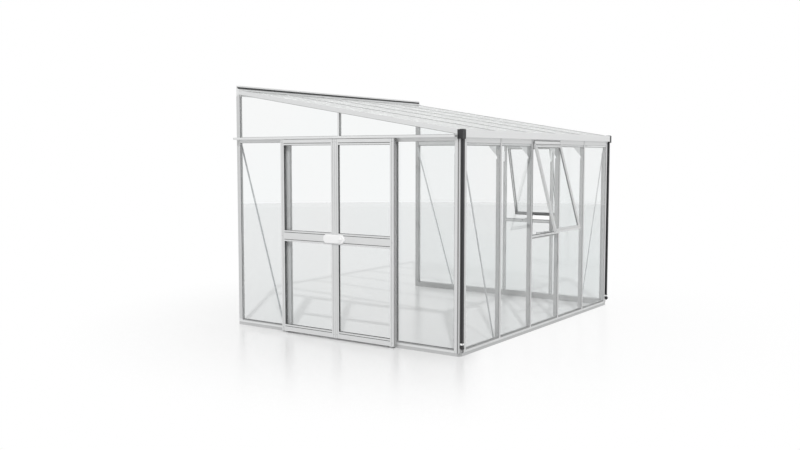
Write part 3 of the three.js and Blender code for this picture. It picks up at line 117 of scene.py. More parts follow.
# Sizes of the lock
LOCK_Z = 1065
LOCK_BACK = -58.3
LOCK_FACE = -82.3
LOCK_RISE = 24
LOCK_END = SEAM + 104
LOCK_EDGE = 11
LOCK_CORNER_RADIUS, LOCK_END_RADIUS, LOCK_CORNER_RISE = 40, 46, 6
LOCK_SCREWS = (SEAM + 24, SEAM + 112)
KNOB_Y = SEAM - 89
KNOB_PROFILE = [(6, -15), (6, 0.3), (21.6, 0.3), (23, 1.6), (22.4, 7.5), (20.6, 9.6), (18, 10.3), (4, 10.5)]

# Sizes of the windows and their stays
HINGE_OUT = 13
HINGE_Z = 2058
SASH_HALF = 330
SASH_SIGHT = (-294, 294, -945, -38)
HINGE_SEAL_DEPTH, HINGE_SEAL_HEIGHTS = (-13.8, -12.9), (-8.5, -3.5)
STRIP_DEPTH = (11, 13.5)
SIDE_STRIP_HEIGHTS, FOOT_STRIP_HEIGHTS = (-975, -30), (-979, -973)
SASH_LIP = -13
SASH_SCREWS = (-16, -967)
WINDOW_HEAD = 2088
# Heights of the black strip that paints the shadow line over the window's hinge bar
HINGE_SHADOW_HEIGHTS = (2090.2, 2094.6)
HEAD_SCREWS, HEAD_SCREW_Z = (-250, -90, 90, 250), 2078
SILL_SCREWS, SILL_SCREW_Z = (-150, 0, 150), 1046
OPEN = math.radians(15)
STAY_EYE_Y, STAY_EYE_Z = -244.736, 1115.876
FORK_Y, FORK_Z = 24, 1074
STAY_TILT = math.atan2(STAY_EYE_Z - FORK_Z, FORK_Y - STAY_EYE_Y)
STAY_SIDE, EYE_SIDE, STAY_MIDDLE, STAY_END = 24.6, 24.9, 28, 366
STAY_PEGS = range(70, 350, 40)
PEG_PROFILE = [(1.6, 0), (2.4, 0.4), (2.4, 6.4), (1.6, 6.8)]
EYE_PROFILE = [(3.4, 0), (4.2, 0.3), (4.2, 5.9), (3.4, 6.2)]
END_PROFILE = [(3.2, -3), (6.4, 0), (7.4, 3), (6.4, 7), (3.0, 9.4)]
HINGE_END_PROFILE = [(3.5, 0), (5, 0.4), (5, 1.6), (3.8, 2.2)]

# Sizes of the roof, along and out from the slope
ROOF_LOW = 46 / math.cos(TURN)
ROOF_HIGH = (DEPTH - BAR_DEPTH - 0.3) / math.cos(TURN)
PANEL_TOP = 39.3
CAP_BOTTOM = 42
CAP_TOP = 45
CAP_HALF = 25
RAFTER_WEB_HALF = 7
VERGE_WEB = 30
VERGE_STRIP = (32, 40.5)
STRIP_IN, STRIP_OUT = 7, 2.2
CLOSURE_HEIGHTS = (23.3, 40.7)
VERGE_SCREWS = 19
CAP_SCREWS = range(170, int(ROOF_HIGH) - 90, 390)

# Inner covers on the backs of the posts: how far back they reach and where they end
COVER_BACK = 57
CORNER_COVER_BACK = 87
COVER_LOW = BASE_TOP + 0.5
FRONT_COVER_TOP, FAR_COVER_TOP, CORNER_COVER_TOP = 1900, 1990, 1960

# Places and sizes of the bolts
POST_BOLT, BASE_BOLT = 5.4, 6.0
POST_BOLT_DEPTH = 32
LOW_BOLTS = (112, 275)
MIDDLE_BOLT, WINDOW_BOLT, HIGH_BOLT = 1000, 940, 1860
PLATE_FACE = 10.3
BRACE_FACE = 48.3
BRACE_LOW, BRACE_HIGH = 62, 2036
BASE_BOLT_Z, BASE_BOLT_ASIDE = 34, 60
GABLE_BASE_BOLTS = (160, 700, 1240, 1780, 2340, 2860)
# Each brace has its upper end first
FRONT_BRACE_ENDS = (80, CORNER_TO_GRID + BAY - 53)
GABLE_BRACE_ENDS = (DEPTH - 37, JAMBS[1] + 106)

# The downpipes, the middle of their rings and clips, and the heights of the upper clips
DOWNPIPES, PIPE_MIDDLE = (28, LENGTH - 28), -1
PIPE_CLIPS = (640, 1420)
RING_PROFILE = [(14.5, 112), (14.8, 112.6), (14.8, 130.4), (14.5, 131)]
FOOT_CLIP_PROFILE = [(12.5, 131.1), (13.6, 131.6), (13.6, 136), (12.5, 137)]

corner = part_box("base_frame")[0]


def grid(i):
    return CORNER_TO_GRID + i * BAY


def place(point):
    """A point in mm from the base frame's corner, in metres in the row frame."""
    return Vector((corner.x + point[0] / 1000, corner.y + point[1] / 1000, corner.z + point[2] / 1000))


def at_door(depth):
    return depth


def at_far(depth):
    return LENGTH - depth


def slope_height(y):
    return EAVE + y * SLOPE


# Zones of the frame where painted shade darkens its metal or painted light brightens it
# Each zone is a list of planes, and holds the points that are past all of them

def past_plane(axis, sign, size):
    """The plane at a size in mm on an axis, as a normal and a distance in metres."""
    normal = [0, 0, 0]
    normal["xyz".index(axis)] = sign
    return (tuple(normal), sign * (corner["xyz".index(axis)] + size / 1000))


def over(axis, size):
    return past_plane(axis, 1, size)


def under(axis, size):
    return past_plane(axis, -1, size)


GLASS_LINE = 3.5
# Metal behind the glass gets painted shade, standing in for the shade inside the greenhouse
BEHIND_GLASS = [
    over("x", GLASS_LINE),
    under("x", LENGTH - GLASS_LINE),
    over("y", GLASS_LINE),
    ((0, SLOPE, -1), corner.y * SLOPE - corner.z - (EAVE + 40) / 1000),
]
# Far end of the eave bars behind the glass, painted lighter: painted light
EAVE_FAR_END_PAINTED_LIGHT = [*BEHIND_GLASS, over("x", 3000)]
# Lower band of the base frame, painted darker: painted shade under the lip above it
GROUND_BAND_PAINTED_SHADE = [under("z", 32.2)]
# Knee plates at the tops of the posts, painted lighter: painted light where they lie in shade
KNEES_PAINTED_LIGHT = [over("y", COVER_BACK + 1.2), over("z", 1850)]
# Sill of the far window, painted a little lighter than the rest behind the glass: painted light
FAR_SILL_PAINTED_LIGHT = [
    over("x", LENGTH - 60),
    over("y", grid(1) + FLANGE_HALF),
    under("y", grid(2) - FLANGE_HALF),
    over("z", SILL_BOTTOM - 1),
    under("z", SILL_TOP + 1),
]
# Side of the door jamb behind the glass, painted dark: painted shade
JAMB_SIDE_PAINTED_SHADE = [
    over("x", GLASS_LINE),
    under("x", 70),
    under("y", JAMBS[0] - JAMB_HALF + 3),
    over("y", JAMBS[0] - JAMB_HALF - 3),
]
SASH_FACE_DEPTH = 0.008


def sash_shade_plane(hinge, sideways):
    """The plane that parts an open sash's inner face from the rest of it, where painted shade darkens its
    metal.
    """
    out, up = math.cos(OPEN), math.sin(OPEN)
    normal = (0, out, -up) if sideways == "y" else (-out, 0, -up)
    return [(normal, sum(a * b for a, b in zip(normal, hinge)) + SASH_FACE_DEPTH)]


# Inner faces of the open sashes and the far sash's foot get painted shade
FRONT_SASH_BACK_SHADE = sash_shade_plane(place((0, -HINGE_OUT, HINGE_Z)), "y")
FAR_SASH_BACK_SHADE = sash_shade_plane(place((LENGTH + HINGE_OUT, 0, HINGE_Z)), "x")
FAR_SASH_FOOT_SHADE = [*FAR_SASH_BACK_SHADE, under("z", 1165)]

# Materials

NOISE_RANGE = (0.3, 0.7)
# Scales of the noise on each axis: even, or drawn out along a bar
ALL_WAYS, ALONG_X, ALONG_Y, ALONG_Z = (1, 1, 1), (0.02, 1, 1), (1, 0.02, 1), (1, 1, 0.02)


def any_ray(tree, *kinds):
    """1 for a ray of one of the kinds, else 0."""
    path = tree.nodes.new("ShaderNodeLightPath")
    value = path.outputs[kinds[0]]
    for kind in kinds[1:]:
        either = tree.nodes.new("ShaderNodeMath")
        either.operation = "MAXIMUM"
        tree.links.new(value, either.inputs[0])
        tree.links.new(path.outputs[kind], either.inputs[1])
        value = either.outputs[0]
    return value


def blend_surfaces(tree, share, first, second, output):
    """Goes from the first shader to the second one with the share."""
    blend = tree.nodes.new("ShaderNodeMixShader")
    tree.links.new(share, blend.inputs[0])
    tree.links.new(first.outputs[0], blend.inputs[1])
    tree.links.new(second.outputs[0], blend.inputs[2])
    tree.links.new(blend.outputs[0], output.inputs["Surface"])


class Shader:
    """A node material with one Principled shader."""

    def __init__(self, name):
        self.material = bpy.data.materials.new(name)
        self.material.use_nodes = True
        self.tree = self.material.node_tree
        self.shader = self.tree.nodes["Principled BSDF"]
        self.output = self.tree.nodes["Material Output"]
        self.coordinates = self.node("ShaderNodeTexCoord").outputs["Object"]

    def node(self, kind, inputs=(), **settings):
        """A node with its settings, and its inputs as (name or place, value or socket)."""
        made = self.tree.nodes.new(kind)
        for key, value in settings.items():
            setattr(made, key, value)
        for key, value in inputs:
            if isinstance(value, bpy.types.NodeSocket):
                self.link(value, made.inputs[key])
            else:
                made.inputs[key].default_value = value
        return made

    def link(self, source, target):
        self.tree.links.new(source, target)

    def set(self, **values):
        for key, value in values.items():
            self.shader.inputs[key.replace("_", " ")].default_value = value

    def noise(self, scale, detail=2.0, roughness=0.5, stretch=ALL_WAYS):
        mapping = self.node("ShaderNodeMapping", [("Scale", stretch), ("Vector", self.coordinates)])
        made = self.node("ShaderNodeTexNoise", [
            ("Scale", scale), ("Detail", detail), ("Roughness", roughness),
            ("Vector", mapping.outputs["Vector"]),
        ])
        return made.outputs["Fac"]

    def ramp(self, value, low, high):
        """Colours between low and high, as a grey value runs over the range of the noise."""
        made = self.node("ShaderNodeValToRGB", [("Fac", value)])
        for stop, position, tone in zip(made.color_ramp.elements, NOISE_RANGE, (low, high)):
            stop.position = position
            stop.color = (*tone, 1)
        return made.outputs["Color"]

    def map_range(self, value, start, end, low, high, curve="LINEAR"):
        """Numbers between low and high, as a value runs from start to end."""
        made = self.node("ShaderNodeMapRange", [
            ("Value", value), ("From Min", start), ("From Max", end), ("To Min", low), ("To Max", high),
        ], interpolation_type=curve)
        return made.outputs["Result"]

    def spread(self, value, low, high):
        return self.map_range(value, *NOISE_RANGE, low, high)

    def mix(self, a, b, share):
        made = self.node(
            "ShaderNodeMix", [("Factor", share), ("A", a), ("B", b)], data_type="RGBA", blend_type="MIX",
        )
        return made.outputs["Result"]

    def math(self, operation, a, b):
        return self.node("ShaderNodeMath", [(0, a), (1, b)], operation=operation).outputs[0]

    def along(self, direction):
        """How far a point of the piece lies along a direction."""
        made = self.node(
            "ShaderNodeVectorMath", [(0, self.coordinates), (1, direction)], operation="DOT_PRODUCT",
        )
        return made.outputs["Value"]

    def past(self, planes):
        """1 where a point of the piece at rest lies past every plane, else 0."""
        least = None
        for normal, distance in planes:
            beyond = self.math("GREATER_THAN", self.along(normal), distance)
            least = beyond if least is None else self.math("MINIMUM", least, beyond)
        return least

    def color(self, source):
        self.link(source, self.shader.inputs["Base Color"])

    def roughness(self, source):
        self.link(source, self.shader.inputs["Roughness"])

    def bump(self, height, strength, distance):
        made = self.node("ShaderNodeBump", [
            ("Strength", strength), ("Distance", distance), ("Height", height),
        ])
        self.link(made.outputs["Normal"], self.shader.inputs["Normal"])

    def see_through(self, tone):
        """Lets the light of the lamps and the floor through, without caustics."""
        clear = self.node("ShaderNodeBsdfTransparent", [("Color", (*tone, 1))])
        share = any_ray(self.tree, "Is Shadow Ray", "Is Diffuse Ray")
        blend_surfaces(self.tree, share, self.shader, clear, self.output)


def cool(level):
    """A grey that is slightly cold."""
    return (level, level + 0.005, level + 0.005)


def tints(tone, *shares):
    """The tone at each share of its brightness."""
    return [tuple(channel * share for channel in tone) for share in shares]


FRAME_TONE = cool(0.785)
# Share of the frame's tone behind the glass: painted shade
BEHIND_GLASS_SHADE = 0.54


def aluminium(name, tone, stretch=ALL_WAYS, zones=((BEHIND_GLASS, BEHIND_GLASS_SHADE),)):
    """Brushed aluminium. The zones are (planes, share of its brightness), the last on top: a share under 1
    is painted shade, over 1 painted light.
    """
    made = Shader(name)
    made.set(Metallic=0.3, Specular_IOR_Level=0.5)
    clouds = made.noise(scale=2.2, detail=3, roughness=0.55, stretch=stretch)
    grain = made.noise(scale=900, detail=2, roughness=0.6, stretch=stretch)

    def grain_with_painted_light(share):
        low, high = tints(tone, share * 0.94, share * 1.04)
        return made.mix(made.ramp(clouds, low, high), made.ramp(grain, low, high), 0.45)

    colour = grain_with_painted_light(1.0)
    # Each zone's share paints shade or light into the colour
    for planes, share in zones:
        colour = made.mix(colour, grain_with_painted_light(share), made.past(planes))
    made.color(colour)
    streaks = made.noise(scale=14, detail=3, roughness=0.6, stretch=stretch)
    made.roughness(made.spread(streaks, 0.33, 0.46))
    made.bump(grain, strength=0.18, distance=0.0002)
    return made.material


def glass(name, tone):
    made = Shader(name)
    made.set(Roughness=0.0, IOR=1.5, Transmission_Weight=1.0)
    less_red = (tone[0] * 0.985, tone[1], tone[2])
    made.color(made.ramp(made.noise(scale=0.8, detail=1, roughness=0.4), tone, less_red))
    waves = made.noise(scale=1.6, detail=1, roughness=0.3, stretch=(1, 1, 0.35))
    made.bump(waves, strength=0.06, distance=0.002)
    made.see_through((0.985, 0.985, 0.985))
    return made.material


def twin_wall(name):
    made = Shader(name)
    made.set(IOR=1.45, Transmission_Weight=0.6)
    ribs = made.node("ShaderNodeTexWave", [
        ("Scale", 19.6), ("Distortion", 0.0), ("Vector", made.coordinates),
    ], wave_type="BANDS", bands_direction="X", wave_profile="SIN").outputs["Fac"]
    pale = made.ramp(ribs, (0.80, 0.815, 0.81), (0.88, 0.892, 0.888))
    clouds = made.noise(scale=1.3, detail=3, roughness=0.6)
    cloudy = made.ramp(clouds, (0.82, 0.835, 0.83), (0.885, 0.897, 0.893))
    made.color(made.mix(pale, cloudy, 0.5))
    made.roughness(made.spread(made.noise(scale=30), 0.28, 0.4))
    made.bump(ribs, strength=0.08, distance=0.0004)
    made.see_through((0.965, 0.97, 0.965))
    return made.material


def plastic(name, tone, rough, grain_scale=700, grain=0.25, shares=(0.9, 1.12)):
    made = Shader(name)
    made.set(Metallic=0.0, Specular_IOR_Level=0.5)
    made.color(made.ramp(made.noise(scale=7, detail=4, roughness=0.6), *tints(tone, *shares)))
    made.roughness(made.spread(made.noise(scale=45), rough * 0.85, rough * 1.15))
    made.bump(made.noise(scale=grain_scale), strength=grain, distance=0.0002)
    return made.material


def zinc(name, tone):
    made = Shader(name)
    made.set(Metallic=0.75)
    low, high = tints(tone, 0.85, 1.08)
    spangle = made.node("ShaderNodeTexVoronoi", [("Scale", 140), ("Vector", made.coordinates)], feature="F1")
    spots = made.ramp(spangle.outputs["Distance"], low, high)
    clouds = made.ramp(made.noise(scale=6, detail=3), low, high)
    made.color(made.mix(spots, clouds, 0.5))
    made.roughness(made.spread(made.noise(scale=80), 0.36, 0.52))
    made.bump(made.noise(scale=500), strength=0.2, distance=0.0002)
    return made.material


# In the zones below, shares under 1 are painted shade and shares over 1 painted light
METAL = aluminium(
    "aluminium_frame", FRAME_TONE, zones=((BEHIND_GLASS, BEHIND_GLASS_SHADE), (JAMB_SIDE_PAINTED_SHADE, 0.3)),
)
# The far gable, seen from the inside, gets a darker tone than the door frame: painted shade
SHADED_METAL_FAR_GABLE = aluminium(
    "aluminium_far_gable_painted_shade", cool(0.64), zones=((BEHIND_GLASS, 0.93), (FAR_SILL_PAINTED_LIGHT, 0.97)),
)
METAL_LEAF = aluminium("aluminium_leaf", cool(0.735))
METAL_BASE = aluminium(
    "aluminium_base", FRAME_TONE, zones=((GROUND_BAND_PAINTED_SHADE, 0.72), (BEHIND_GLASS, BEHIND_GLASS_SHADE)),
)
METAL_FRONT_SASH = aluminium("aluminium_front_sash", cool(0.68), zones=((FRONT_SASH_BACK_SHADE, 0.62),))
METAL_FAR_SASH = aluminium(
    "aluminium_far_sash", FRAME_TONE, zones=((FAR_SASH_BACK_SHADE, 0.88), (FAR_SASH_FOOT_SHADE, 0.36)),
)
METAL_X = aluminium(
    "aluminium_bar_x", FRAME_TONE, ALONG_X, zones=((BEHIND_GLASS, 0.92), (EAVE_FAR_END_PAINTED_LIGHT, 1.17)),
)
METAL_Y = aluminium("aluminium_bar_y", cool(0.75), ALONG_Y)
METAL_POST = aluminium("aluminium_post", cool(0.655), ALONG_Z, zones=((BEHIND_GLASS, 0.7), (KNEES_PAINTED_LIGHT, 1.5)))
METAL_CORNER = aluminium("aluminium_corner_post", cool(0.72), ALONG_Z, zones=((BEHIND_GLASS, 0.64),))
METAL_WALL = aluminium("aluminium_wall_post", cool(0.62), ALONG_Z, zones=((BEHIND_GLASS, 0.7),))
BEAD = aluminium("aluminium_bead", (0.70, 0.71, 0.71))
# Dark copy of the bead metal for the sash beads: painted shade
SHADED_BEAD = aluminium("aluminium_bead_painted_shade", cool(0.24))
GLASS = glass("wall_glass", (0.928, 0.934, 0.934))
SHEET = twin_wall("roof_sheet")
BLACK = plastic("black_plastic", (0.022, 0.022, 0.024), 0.42)
WHITE = plastic("white_plastic", (0.925, 0.925, 0.925), 0.35, grain=0.1, shares=(0.985, 1.015))
NYLON = plastic("nylon", (0.74, 0.73, 0.69), 0.5, shares=(0.94, 1.05))
RUBBER = plastic("rubber", (0.045, 0.047, 0.048), 0.72, 1200, 0.35)
GREY_RUBBER = plastic("grey_rubber", cool(0.24), 0.7, 1200, 0.35)
MID_RUBBER = plastic("mid_grey_rubber", cool(0.36), 0.65, 1200, 0.3)
PALE_RUBBER = plastic("pale_rubber", cool(0.50), 0.6, 1200, 0.3)
BRUSH = plastic("brush_pile", (0.05, 0.05, 0.052), 0.9, 2400, 0.9)
STEEL = zinc("steel", (0.60, 0.615, 0.62))
BOLT = zinc("bolt_steel", (0.42, 0.43, 0.435))

LOOKS = {
    "downpipe": BLACK,
    "lock": WHITE,
    "door_roller": NYLON,
    "brace": STEEL,
    "rafter": METAL_Y,
    "verge": METAL_Y,
    "eave_gutter": METAL_X,
    "wall_plate": METAL_X,
    "front_window_sill": METAL_X,
    "base_frame": METAL_BASE,
    "front_window_sash": METAL_FRONT_SASH,
    "far_window_sash": METAL_FAR_SASH,
    "front_post": METAL_POST,
    "corner_post": METAL_CORNER,
    "wall_post": METAL_WALL,
    "far_gable_frame": SHADED_METAL_FAR_GABLE,
    "door_leaf": METAL_LEAF,
    "door_frame": METAL,
}


def look_of(name):
    if name.startswith("roof_panel"):
        return SHEET
    if "_pane" in name:
        return GLASS
    if name.endswith("_stay"):
        return STEEL
    return next(material for start, material in LOOKS.items() if name.startswith(start))


for node_name, node in nodes.items():
    node.data.materials.clear()
    node.data.materials.append(look_of(node_name))


# Mesh building

class Mesh:
    """Gathers faces from points in mm, and makes one object of them. `turn` places each point."""

    def __init__(self, turn=lambda point: point):
        self.verts = []
        self.faces = []
        self.turn = turn

    def add(self, points, faces):
        start = len(self.verts)
        self.verts += [place(self.turn(point)) for point in points]
        self.faces += [tuple(start + i for i in face) for face in faces]

    def rings(self, rings, closed=False):
        """Joins rings of points, one after another, into a capped body or a closed loop."""
        count = len(rings[0])
        points = [point for ring in rings for point in ring]
        faces = []
        spans = len(rings) if closed else len(rings) - 1
        for r in range(spans):
            a, b = r * count, ((r + 1) % len(rings)) * count
            for i in range(count):
                j = (i + 1) % count
                faces.append((a + i, a + j, b + j, b + i))
        if not closed:
            faces.append(tuple(reversed(range(count))))
            faces.append(tuple((len(rings) - 1) * count + i for i in range(count)))
        self.add(points, faces)

    def box(self, x, y, z, edge):
        """A box with chamfered edges between two corners."""
        (x0, x1), (y0, y1), (z0, z1) = (sorted(pair) for pair in (x, y, z))
        e = min(edge, (x1 - x0) / 2.5, (y1 - y0) / 2.5, (z1 - z0) / 2.5)

        def ring(inset, height):
            a0, a1, b0, b1 = x0 + inset, x1 - inset, y0 + inset, y1 - inset
            return [
                (a0 + e, b0, height), (a1 - e, b0, height), (a1, b0 + e, height), (a1, b1 - e, height),
                (a1 - e, b1, height), (a0 + e, b1, height), (a0, b1 - e, height), (a0, b0 + e, height),
            ]

        self.rings([ring(e, z0), ring(0, z0 + e), ring(0, z1 - e), ring(e, z1)])

    def turned(self, centre, axis, profile, count=20):
        """Turns a profile of (radius, height) points round an axis through the centre."""
        axis = Vector(axis).normalized()
        side = axis.orthogonal().normalized()
        other = axis.cross(side)
        centre = Vector(centre)
        rings = []
        for radius, height in profile:
            ring = []
            for i in range(count):
                angle = 2 * math.pi * i / count
                spoke = math.cos(angle) * side + math.sin(angle) * other
                ring.append(tuple(centre + axis * height + spoke * radius))
            rings.append(ring)
        self.rings(rings)

    def sleeve(self, x, y, profile, edge):
        """A square sleeve round an upright, from a profile of (half width, height)."""
        rings = []
        for half, height in profile:
            a = half - edge
            rings.append([(x + u, y + v, height) for u, v in (
                (-a, -half), (a, -half), (half, -a), (half, a),
                (a, half), (-a, half), (-half, a), (-half, -a),
            )])
        self.rings(rings)

    def bolt(self, centre, axis, size):
        """A washer and a hexagon head that stand on a face."""
        washer = [(size * 1.1, 0), (size * 1.25, 0.3), (size * 1.25, 1.0), (size * 1.1, 1.3)]
        head = [(size * 0.9, 1.2), (size, 1.5), (size, size * 0.85), (size * 0.86, size)]
        self.turned(centre, axis, washer)
        self.turned(centre, axis, head, 6)

    def screw(self, centre, axis, size):
        """A domed screw head with a shallow socket."""
        self.turned(
            centre, axis,
            [(size, 0), (size, 0.5), (size * 0.86, 1.6), (size * 0.5, 2.3), (size * 0.45, 1.5)], 16,
        )

    def loop(self, corners, section, lift):
        """A strip round a polygon, mitred at its corners. The section holds (inset, height) points."""
        count = len(corners)
        area = sum(
            corners[i][0] * corners[(i + 1) % count][1] - corners[(i + 1) % count][0] * corners[i][1]
            for i in range(count)
        )
        if area < 0:
            corners = corners[::-1]
        rings = []
        for i in range(count):
            here = Vector(corners[i])
            before = (here - Vector(corners[i - 1])).normalized()
            after = (Vector(corners[(i + 1) % count]) - here).normalized()
            inward = [Vector((-d.y, d.x)) for d in (before, after)]
            mitre = (inward[0] + inward[1]) / (1 + inward[0].dot(inward[1]))
            rings.append([lift(*(here + mitre * inset), height) for inset, height in section])
        self.rings(rings, closed=True)

    def make(self, name, material, body, slot, smooth=False):
        data = bpy.data.meshes.new(name)
        data.from_pydata(self.verts, [], self.faces)
        shape = bmesh.new()
        shape.from_mesh(data)
        bmesh.ops.recalc_face_normals(shape, faces=shape.faces)
        shape.to_mesh(data)
        shape.free()
        for face in data.polygons:
            face.use_smooth = smooth
        data.materials.append(material)
        made = bpy.data.objects.new(name, data)
        bpy.context.scene.collection.objects.link(made)
        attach(made, body)
        return made


def rectangle(a0, a1, b0, b1):
    return [(a0, b0), (a1, b0), (a1, b1), (a0, b1)]


# Sections of the seals round a pane: from the frame's edge inwards, and out from the pane
SEAL = [(-0.1, 0.0), (2.4, 0.0), (2.1, 0.9), (1.0, 1.8), (-0.1, 2.2)]
LEAF_SEAL = [(-0.1, 0.0), (3.4, 0.0), (3.0, 1.4), (1.3, 3.4), (0.9, 15.6), (-0.1, 16.2)]
INNER_SEAL = [(0.0, 0.0), (7.0, 0.0), (6.2, 2.2), (2.0, 5.0), (0.0, 5.0)]

# Glazing seals of the fixed panes, and gaskets on the base frame's face along their foot

GASKET_HEIGHTS = (BASE_TOP - 11, BASE_TOP + 1.5)
GASKET_OUT = -1.1
GASKET_END = 0.5


def on_front(u, v, height):
    return (u, PANE_FACE - height, v)


def in_front(u, v, height):
    return (u, PANE_BACK + height, v)


def bay_edges(i, corner_edge, post_half):
    """The left and right edges of the room that the posts leave in a bay of the eave side."""
    left = corner_edge if i == 0 else grid(i) + post_half
    right = LENGTH - corner_edge if i == BAYS - 1 else grid(i + 1) - post_half
    return left, right


DOOR_GABLE_SPANS = (
    (CORNER_FLANGE, JAMBS[0] - JAMB_FLANGE_HALF),
    (JAMBS[1] + JAMB_FLANGE_HALF, WALL_FLANGE),
)
FAR_GABLE_SPANS = (
    (CORNER_FLANGE, grid(1) - FLANGE_HALF),
    (grid(1) + FLANGE_HALF, grid(2) - FLANGE_HALF),
    (grid(2) + FLANGE_HALF, grid(3) - FLANGE_HALF),
    (grid(3) + FLANGE_HALF, WALL_FLANGE),
)

front_seals, front_inner, sills = Mesh(), Mesh(), Mesh()
for i in range(BAYS):
    head = SILL_BOTTOM if i == WINDOW_BAY else EAVE_RAIL_LIP - 0.4
    edges = bay_edges(i, CORNER_FRONT_FLANGE, FLANGE_HALF)
    front_seals.loop(rectangle(*edges, BASE_TOP, head), SEAL, on_front)
    inner_head = SILL_WEB if i == WINDOW_BAY else EAVE_RAIL_BOTTOM
    edges = bay_edges(i, CORNER_FRONT_WEB, WEB_HALF)
    front_inner.loop(rectangle(*edges, BASE_TOP, inner_head), INNER_SEAL, in_front)
    edges = bay_edges(i, CORNER_FRONT_FLANGE + GASKET_END, FLANGE_HALF)
    sills.box(edges, (GASKET_OUT, 0), GASKET_HEIGHTS, 0.4)
for at, spans in ((at_door, DOOR_GABLE_SPANS), (at_far, FAR_GABLE_SPANS)):
    for start, end in spans:
        start = max(start, CORNER_FLANGE + GASKET_END)
        sills.box((at(GASKET_OUT), at(0)), (start, end), GASKET_HEIGHTS, 0.4)
front_seals.make("seals_front_outer", MID_RUBBER, "frame", "black_plastic")
sills.make("sill_gaskets", MID_RUBBER, "frame", "black_plastic")
front_inner.make("seals_front_inner", GREY_RUBBER, "frame", "black_plastic")


def gable_seals(name, at, panes, inner_panes, outer_material, inner_material):
    outer, inner = Mesh(), Mesh()
    for corners in panes:
        outer.loop(corners, SEAL, lambda u, v, height: (at(PANE_FACE - height), u, v))
    for corners in inner_panes:
        inner.loop(corners, INNER_SEAL, lambda u, v, height: (at(PANE_BACK + height), u, v))
    outer.make("seals_" + name + "_outer", outer_material, "frame", "black_plastic")
    inner.make("seals_" + name + "_inner", inner_material, "frame", "black_plastic")


def top_pane(start, end):
    """The outline of a pane between the gable's header and the slope."""
    return [(start, RAIL_TOP), (end, RAIL_TOP), (end, slope_height(end)), (start, slope_height(start))]


TOP_BAR = (SEAM - 16.5, SEAM + 3.5)
TOP_PANES = [top_pane(CORNER_FLANGE + 6, TOP_BAR[0]), top_pane(TOP_BAR[1], WALL_FLANGE)]
gable_seals(
    "door_gable", at_door,
    [*(rectangle(*span, BASE_TOP, RAIL_BOTTOM) for span in DOOR_GABLE_SPANS), *TOP_PANES],
    [
        rectangle(CORNER_WEB, JAMBS[0] - JAMB_HALF, BASE_TOP, RAIL_WEB),
        rectangle(JAMBS[1] + JAMB_HALF, WALL_WEB, BASE_TOP, RAIL_WEB),
    ],
    RUBBER, GREY_RUBBER,
)
FAR_HEADS = (RAIL_BOTTOM, SILL_BOTTOM, RAIL_BOTTOM, RAIL_BOTTOM)
gable_seals(
    "far_gable", at_far,
    [*(rectangle(*span, BASE_TOP, head) for span, head in zip(FAR_GABLE_SPANS, FAR_HEADS)), *TOP_PANES],
    [
        rectangle(CORNER_WEB, grid(1) - WEB_HALF, BASE_TOP, RAIL_WEB),
        rectangle(grid(1) + WEB_HALF, grid(2) - WEB_HALF, BASE_TOP, SILL_WEB),
        rectangle(grid(2) + WEB_HALF, grid(3) - WEB_HALF, BASE_TOP, RAIL_WEB),
        rectangle(grid(3) + WEB_HALF, WALL_WEB, BASE_TOP, RAIL_WEB),
    ],
    MID_RUBBER, PALE_RUBBER,
)

# Inner covers on the backs of the posts

covers, corner_covers = Mesh(), Mesh()
for i in FRONT_POSTS:
    width = (grid(i) - WEB_HALF, grid(i) + WEB_HALF)
    covers.box(width, (BAR_DEPTH, COVER_BACK), (COVER_LOW, FRONT_COVER_TOP), 1.2)
for k in GABLE_POSTS:
    width = (grid(k) - WEB_HALF, grid(k) + WEB_HALF)
    covers.box((at_far(COVER_BACK), at_far(BAR_DEPTH)), width, (COVER_LOW, FAR_COVER_TOP), 1.2)
for at in (at_door, at_far):
    width = (at(20), at(BAR_DEPTH))
    corner_covers.box(width, (BAR_DEPTH, CORNER_COVER_BACK), (COVER_LOW, CORNER_COVER_TOP), 1.5)
covers.make("post_covers", METAL_POST, "frame", "aluminium_frame")
corner_covers.make("corner_post_covers", METAL_CORNER, "frame", "aluminium_frame")

# Door leaves
# Grooves part the glazing beads from the leaf's frame, with strips in them that paint the grooves' shade:
# dark across, pale upright

BEAD_SECTION = [(-7.8, 0.1), (3.5, 0.1), (3.5, 2.6), (1.2, 4.6), (-7.8, 4.6)]
BEAD_WIDTH = 17
GROOVE = 6
UPRIGHT_INSET, ACROSS_INSET = 2.2, 1.2
GROOVE_SHADE_BACK = LEAF_FRONT + GROOVE - 0.05
BRUSH_DEPTH = (LEAF_BACK, LEAF_BACK + 26)
BRUSH_HEIGHTS = (LEAF_LOW + 4, LEAF_HIGH - 4)
TOP_BRUSH_HEIGHTS = (LEAF_HIGH - 22, LEAF_HIGH - 15)
TOP_BRUSH_INSET = 8
SEAM_BRUSH_DEPTH = (LEAF_BACK - 12, LEAF_BACK - 6)
EDGE_SEAL_DEPTH = (LEAF_FRONT + 5, LEAF_BACK - 4)
# How far towards the seam they lie: the first two from the leaf's jamb edge, the last from its seam edge
JAMB_BRUSH = (34, 27)
EDGE_SEAL = (0.3, -1.0)
SEAM_BRUSH = (1.2, -0.4)
SCREW_INSET = 18
SCREW_HEIGHTS = (LEAF_LOW + 36, LEAF_HIGH - 30, LEAF_MIDDLE)
LEAF_SCREW = 3.6
HALF_GAP = 1.5

